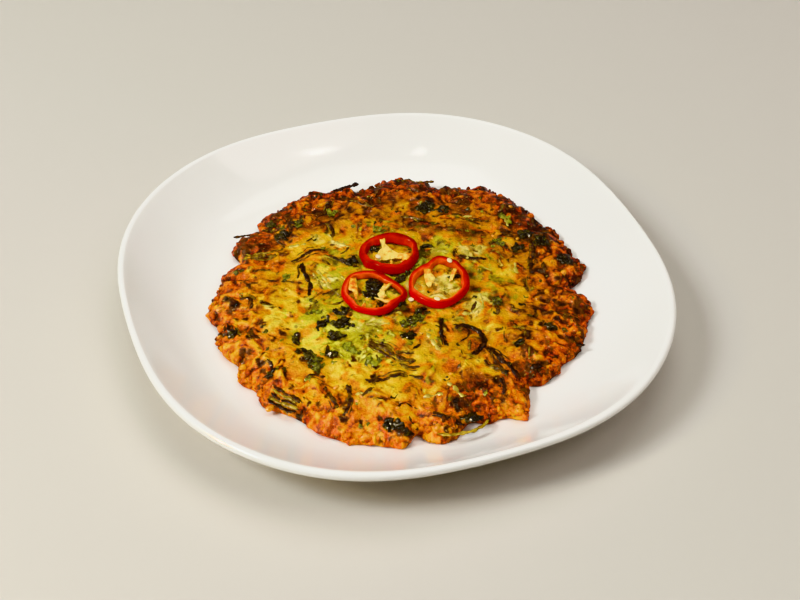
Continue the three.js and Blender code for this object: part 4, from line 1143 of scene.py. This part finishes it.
def chilli_wall(spec, base):
    """The ring of wall: waxy skin that leans in, a flat cut above, and soft flesh that swells below."""
    thick, wall = spec["thick"], spec["wall"]
    # Depth from the skin (mm), share of the height, how far that place is skin, and how its flesh is
    # coloured: 0 beside the skin, 0.6 at the inner edge of the cut and 1, in painted shade, at the foot of
    # the inner side.
    section = [
        (0.15, 0.06, 1, 0), (0, 0.2, 1, 0), (0, 0.4, 1, 0), (0.08, 0.6, 1, 0), (0.2, 0.78, 1, 0),
        (0.34, 0.9, 0.9, 0), (0.5, 0.97, 0.4, 0), (0.75, 1, 0.1, 0.04), (1.1, 1, 0, 0.14),
        (wall / 2, 0.99, 0, 0.28), (wall - 1, 0.98, 0, 0.42), (wall - 0.6, 0.94, 0, 0.55),
        (wall - 0.35, 0.82, 0, 0.64), (wall - 0.2, 0.62, 0, 0.7), (wall, 0.4, 0, 0.8),
        (wall + 0.25, 0.2, 0, 0.92), (wall + 0.3, 0.06, 0, 1), (wall - 0.1, 0, 0, 1), (wall / 2, 0, 0, 0.8),
        (0.8, 0, 0.3, 0.2), (0.4, 0.01, 0.9, 0),
    ]
    turns = np.arange(CHILLI_ROUND) / CHILLI_ROUND
    skin = chilli_outline(spec, turns)
    inward = np.array(spec["centre"]) - skin
    inward /= np.linalg.norm(inward, axis=1)[:, None]
    angle = 2 * math.pi * turns
    uneven = 1 + 0.16 * np.sin(3 * angle + spec["centre"][0]) + 0.1 * np.sin(7 * angle)
    uneven += spec["heavy"][1] * near_angle(360 * turns, spec["heavy"][0], 60)
    wave = MOST_CHILLI_WAVE * (np.sin(2 * angle + spec["centre"][1]) - 1)
    rings = []
    for depth, rise, _, _ in section:
        xy = skin + inward * (depth * (uneven if depth > wall / 2 else np.ones_like(uneven)))[:, None]
        xy += (1 - rise) * np.array(spec["lean"])
        rings.append(np.column_stack([xy, base + thick * rise + wave * rise]))
    count = len(section)
    points = np.stack(rings, 1).reshape(-1, 3)
    faces = []
    for n in range(CHILLI_ROUND):
        for k in range(count):
            after = (n + 1) % CHILLI_ROUND * count
            faces.append([n * count + k, after + k, after + (k + 1) % count, n * count + (k + 1) % count])
    skin_here, flesh_and_shade_here = np.tile(np.array(section)[:, 2:].T, CHILLI_ROUND)
    # Painted light and shade: each slice is a brighter red on its left and front than behind.
    painted_light_side = np.repeat(np.cos(angle - PAINTED_LIGHT_AT), count)
    on_cut = flesh_and_shade_here + 0.05 + np.where(painted_light_side > 0, 0.13, 0.3) * painted_light_side
    on_cut = np.clip(on_cut, 0, 1) * (0.25 + 0.75 * spec["scarlet"])
    # Painted shade: down the inner side the flesh goes from orange to a dark brown red, or where it isn't
    # amber, from red.
    amber = np.repeat(near_angle(360 * turns, *spec["amber"]), count)
    inner_side = 0.62 + (flesh_and_shade_here - 0.64) * spec["shade"]
    inner_side = amber * inner_side + (1 - amber) * 0.7 * (1 - flesh_and_shade_here)
    flesh_and_shade_here = np.where(flesh_and_shade_here < 0.6, on_cut, inner_side)
    scarlet_and_light_here = spec["scarlet"] * (0.6 + 0.4 * painted_light_side)
    return points, faces, {"skin": skin_here, "flesh": flesh_and_shade_here, "scarlet": scarlet_and_light_here}


def pith_sheet(spec, base, outline, random):
    """One torn membrane of pith, thick where it leaves the wall: a thin uneven sheet with sharp edges."""
    corners = np.array(outline, float)
    after = np.roll(corners, -1, 0)
    edge = np.stack([corners + (after - corners) * t for t in (0, 0.33, 0.67)], 1).reshape(-1, 2)
    edge += random.uniform(-0.22, 0.22, edge.shape)
    middle, count = edge.mean(0), len(edge)
    flat = np.concatenate([middle + (edge - middle) * share for share in (1, 0.85, 0.6, 0.3, 0.04, 0.9)])
    reach = np.hypot(flat[:, 0], flat[:, 1]) / 11
    from_wall = np.clip(reach - 0.35, 0, 1)
    heights = base + spec["thick"] * (0.45 + 0.42 * np.clip(reach, 0, 1) ** 1.5)
    heights += 0.4 * swirl(flat[:, 0] + 40, flat[:, 1] + 40, 2.1, 101)
    heights += np.repeat([-0.3, 0, 0.12, 0.12, 0.1, -1.0], count)
    faces = []
    for ring in range(4):
        for n in range(count):
            a, b = ring * count + n, ring * count + (n + 1) % count
            faces.append([a, b, b + count, a + count])
    faces.append([4 * count + n for n in range(count)])
    for n in range(count):
        faces.append([n, 5 * count + n, 5 * count + (n + 1) % count, (n + 1) % count])
    faces.append([5 * count + n for n in reversed(range(count))])
    return np.column_stack([flat + spec["centre"], heights]), faces, {"near_wall": from_wall}


def seed_disc(x, y, z, random):
    """One flat round seed with a thick edge."""
    shape = ball_points * [1.45, 1.2, 0.5]
    shape[:, 2] *= 1 - 0.35 * np.exp(-(shape[:, 0] ** 2 + shape[:, 1] ** 2) / 0.6)
    angle = 6.3 * random.random()
    cosine, sine = math.cos(angle), math.sin(angle)
    points = shape @ np.array([[cosine, sine, 0.1], [-sine, cosine, 0.1], [-0.1, -0.1, 1]])
    return points + [x, y, z + SEED_LIFT], ball_faces, {}


# Ripe chilli wall: a waxy, deep red skin with hard highlights, and wet orange-red flesh where it was cut.
chilli_finish, tree, where = new_material("red_chilli")
skin_here, flesh_and_shade_here, scarlet_and_light_here = (
    add(tree, "ShaderNodeAttribute", out="Fac", attribute_name=mask) for mask in ("skin", "flesh", "scarlet"))
blush = add(tree, "ShaderNodeTexNoise", {
    "Vector": where, "Scale": 1 / (4 * MM), "Detail": 2}, normalize=False)
fibre = add(tree, "ShaderNodeTexNoise", {"Vector": where, "Scale": 1 / (0.7 * MM), "Detail": 3})
# The flesh colours run from dark red by the skin to orange at the cut's inner edge, then into painted shade,
# a dark brown red, at the foot of the inner side.
inside = add(tree, "ShaderNodeMath", {0: blush, 1: 0.16, 2: flesh_and_shade_here}, operation="MULTIPLY_ADD")
flesh = add(tree, "ShaderNodeValToRGB", {"Fac": inside}, stops=[
    (0.0, "#860402"), (0.14, "#AE0C02"), (0.3, "#C61802"), (0.45, "#E03604"), (0.6, "#F8640E"),
    (0.74, "#D4400A"), (1.0, "#5C1002")])
# Painted light: the skin is a brighter red on each slice's left and front.
skin = add(tree, "ShaderNodeMix", {
    0: scarlet_and_light_here, 6: linear("#960202"), 7: linear("#DC0404")}, out=2, data_type="RGBA")
colour = add(tree, "ShaderNodeMix", {0: skin_here, 6: flesh, 7: skin}, out=2, data_type="RGBA")
gloss = add(tree, "ShaderNodeMapRange", {"Value": skin_here, "To Min": 0.3, "To Max": 0.2})
rough = add(tree, "ShaderNodeBump", {"Height": fibre, "Strength": 0.2, "Distance": 0.15 * MM})
cover(tree, add(tree, "ShaderNodeBsdfPrincipled", {
    "Base Color": colour, "Roughness": gloss, "IOR": 1.45, "Specular IOR Level": 0.02, "Normal": rough,
    "Subsurface Weight": 0.1, "Subsurface Radius": (1, 0.2, 0.1), "Subsurface Scale": 1 * MM,
    "Coat Weight": 0.03, "Coat Roughness": 0.1, "Coat Normal": rough}))

# Chilli pith: a spongy membrane, orange where it leaves the wall and pale cream yellow at its torn edges.
pith_finish, tree, where = new_material("chilli_pith")
near_wall = add(tree, "ShaderNodeAttribute", out="Fac", attribute_name="near_wall")
sponge = add(tree, "ShaderNodeTexNoise", {
    "Vector": where, "Scale": 1 / (2.2 * MM), "Detail": 3}, normalize=False)
stained = add(tree, "ShaderNodeMath", {0: sponge, 1: 0.9, 2: near_wall}, operation="MULTIPLY_ADD")
colour = add(tree, "ShaderNodeValToRGB", {"Fac": stained}, stops=[
    (0.1, "#FCDC74"), (0.4, "#F8C448"), (0.7, "#F09C28"), (1.0, "#DC6A18")])
rough = add(tree, "ShaderNodeBump", {"Height": sponge, "Strength": 0.6, "Distance": 0.5 * MM})
cover(tree, add(tree, "ShaderNodeBsdfPrincipled", {
    "Base Color": colour, "Roughness": 0.4, "IOR": 1.4, "Normal": rough,
    "Subsurface Weight": 0.2, "Subsurface Radius": (1, 0.6, 0.3), "Subsurface Scale": 1 * MM}))

# Chilli seed: a dry, cream-coloured disc with a faintly rough coat.
seed_finish, tree, where = new_material("chilli_seed")
husk = add(tree, "ShaderNodeTexNoise", {"Vector": where, "Scale": 1 / (0.6 * MM), "Detail": 2})
colour = add(tree, "ShaderNodeValToRGB", {"Fac": husk}, stops=[(0.3, "#E9CF8E"), (0.7, "#F7EAC2")])
rough = add(tree, "ShaderNodeBump", {"Height": husk, "Strength": 0.3, "Distance": 0.1 * MM})
cover(tree, add(tree, "ShaderNodeBsdfPrincipled", {
    "Base Color": colour, "Roughness": 0.45, "IOR": 1.45, "Normal": rough}))

random = np.random.default_rng(23)
for name, spec in CHILLIES.items():
    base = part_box(name)[0].z / MM
    points, faces, masks = chilli_wall(spec, base)
    ring = make_piece(name + "_wall", points, faces, chilli_finish, masks)
    sheets = [pith_sheet(spec, base, torn, random) for torn in spec["pith"]]
    pith_points, pith_faces, pith_masks = gather(sheets)
    make_piece(name + "_pith", pith_points, pith_faces, pith_finish, pith_masks)
    lid = base + spec["thick"]
    spots = [(spec["centre"][0] + x, spec["centre"][1] + y, lid - SEED_LIFT + z) for x, y, z in spec["seeds"]]
    if spots:
        seed_points, seed_faces, _ = gather([seed_disc(*spot, random) for spot in spots])
        make_piece(name + "_seeds", seed_points, seed_faces, seed_finish)
    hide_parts(name)
stray = seed_disc(*STRAY_SEED, float(top_height(*np.array(STRAY_SEED))), random)
make_piece("stray_seed", stray[0], np.asarray(stray[1]).tolist(), seed_finish)


# Studio
# A pale floor that sweeps up far away into a wall, under soft lights: a strong one from the left, one above,
# one behind and one from the right. Three small lamps add glints, and the room itself is nearly dark.

FLOOR_RADIUS = 2.2
SWEEP_RADIUS = 0.8
WALL_TOP = 2.6
FLOOR_SEGMENTS = 96
sweep = np.linspace(0, math.pi / 2, 13)
floor_section = [(FLOOR_RADIUS + SWEEP_RADIUS * math.sin(a), SWEEP_RADIUS * (1 - math.cos(a))) for a in sweep]
floor_section.append((FLOOR_RADIUS + SWEEP_RADIUS, WALL_TOP))
around = np.arange(FLOOR_SEGMENTS) * 2 * math.pi / FLOOR_SEGMENTS
floor_points = [(r * math.cos(a), r * math.sin(a), z) for r, z in floor_section for a in around]
floor_faces = [tuple(range(FLOOR_SEGMENTS))]
for ring in range(len(floor_section) - 1):
    for n in range(FLOOR_SEGMENTS):
        start, after = ring * FLOOR_SEGMENTS + n, ring * FLOOR_SEGMENTS + (n + 1) % FLOOR_SEGMENTS
        floor_faces.append((start, start + FLOOR_SEGMENTS, after + FLOOR_SEGMENTS, after))
floor_mesh = bpy.data.meshes.new("floor")
floor_mesh.from_pydata(floor_points, [], floor_faces)
floor_mesh.shade_smooth()
floor = bpy.data.objects.new("floor", floor_mesh)
bpy.context.scene.collection.objects.link(floor)
floor_finish, tree, where = new_material("pale_floor")
cover(tree, add(tree, "ShaderNodeBsdfPrincipled", {"Base Color": linear("#C9C4BC"), "Roughness": 0.7}))
floor_mesh.materials.append(floor_finish)


def soft_light(name, place, size, power, colour):
    """A square lamp at a place (metres) that faces the plate."""
    lamp = bpy.data.lights.new(name, "AREA")
    lamp.size = size
    lamp.energy = power
    lamp.color = linear(colour)[:3]
    light = bpy.data.objects.new(name, lamp)
    light.location = place
    light.rotation_mode = "QUATERNION"
    light.rotation_quaternion = light.location.to_track_quat("Z", "Y")
    bpy.context.scene.collection.objects.link(light)
    return light


soft_light("key", (-0.989, -0.461, 1.17), 0.45, 17, "#F6FDFF")
soft_light("ceiling", (0, 0, 2.0), 1.8, 6.5, "#FFFDF0")
soft_light("behind", (0.1, 0.55, 1.85), 1.2, 12, "#FFFFFA")
soft_light("right", (0.97, -0.353, 1.474), 0.9, 7, "#FFF2EC")
# This small lamp adds nothing but glints: it shows in the oil on the crust and lights no surface.
sparkle = soft_light("sparkle", (-1.2, -0.56, 0.9), 0.1, 140, "#FFE6B4")
sparkle.visible_diffuse = False
# Two lamps overhead show as short bright streaks in the glaze behind the pancake.
soft_light("lamp_above", (-0.047, -0.194, 1.584), 0.03, 0.5, "#FFFCF6")
soft_light("lamp_aside", (0.55, -0.33, 1.44), 0.03, 0.5, "#FFFCF6")

room = bpy.data.worlds.new("room")
room.use_nodes = True
room.node_tree.nodes["Background"].inputs["Color"].default_value = linear("#FFF4E8")
room.node_tree.nodes["Background"].inputs["Strength"].default_value = 0.02
bpy.context.scene.world = room
bpy.context.scene.view_settings.view_transform = "Khronos PBR Neutral"

# The camera looks down on the plate from the diner's side, held with a slight tilt.
CAMERA_ELEVATION = math.radians(41.63)
CAMERA_TILT = math.radians(1.81)
CAMERA_DISTANCE = 0.60357
CAMERA_AIM = np.array([0.00323, 0.00579, 0])
SENSOR_WIDTH = 36
LENS_LENGTH = 58.5
back = np.array([0, -math.cos(CAMERA_ELEVATION), math.sin(CAMERA_ELEVATION)])
level = np.array([1, 0, 0])
upright = np.cross(back, level)
right = math.cos(CAMERA_TILT) * level + math.sin(CAMERA_TILT) * upright
up = math.cos(CAMERA_TILT) * upright - math.sin(CAMERA_TILT) * level
lens = bpy.data.cameras.new("camera")
lens.sensor_width = SENSOR_WIDTH
lens.lens = LENS_LENGTH
camera = bpy.data.objects.new("camera", lens)
bpy.context.scene.collection.objects.link(camera)
turn = np.eye(4)
turn[:3, :3] = np.stack([right, up, back], 1)
turn[:3, 3] = CAMERA_AIM + CAMERA_DISTANCE * back
camera.matrix_world = turn.T.tolist()
bpy.context.scene.camera = camera
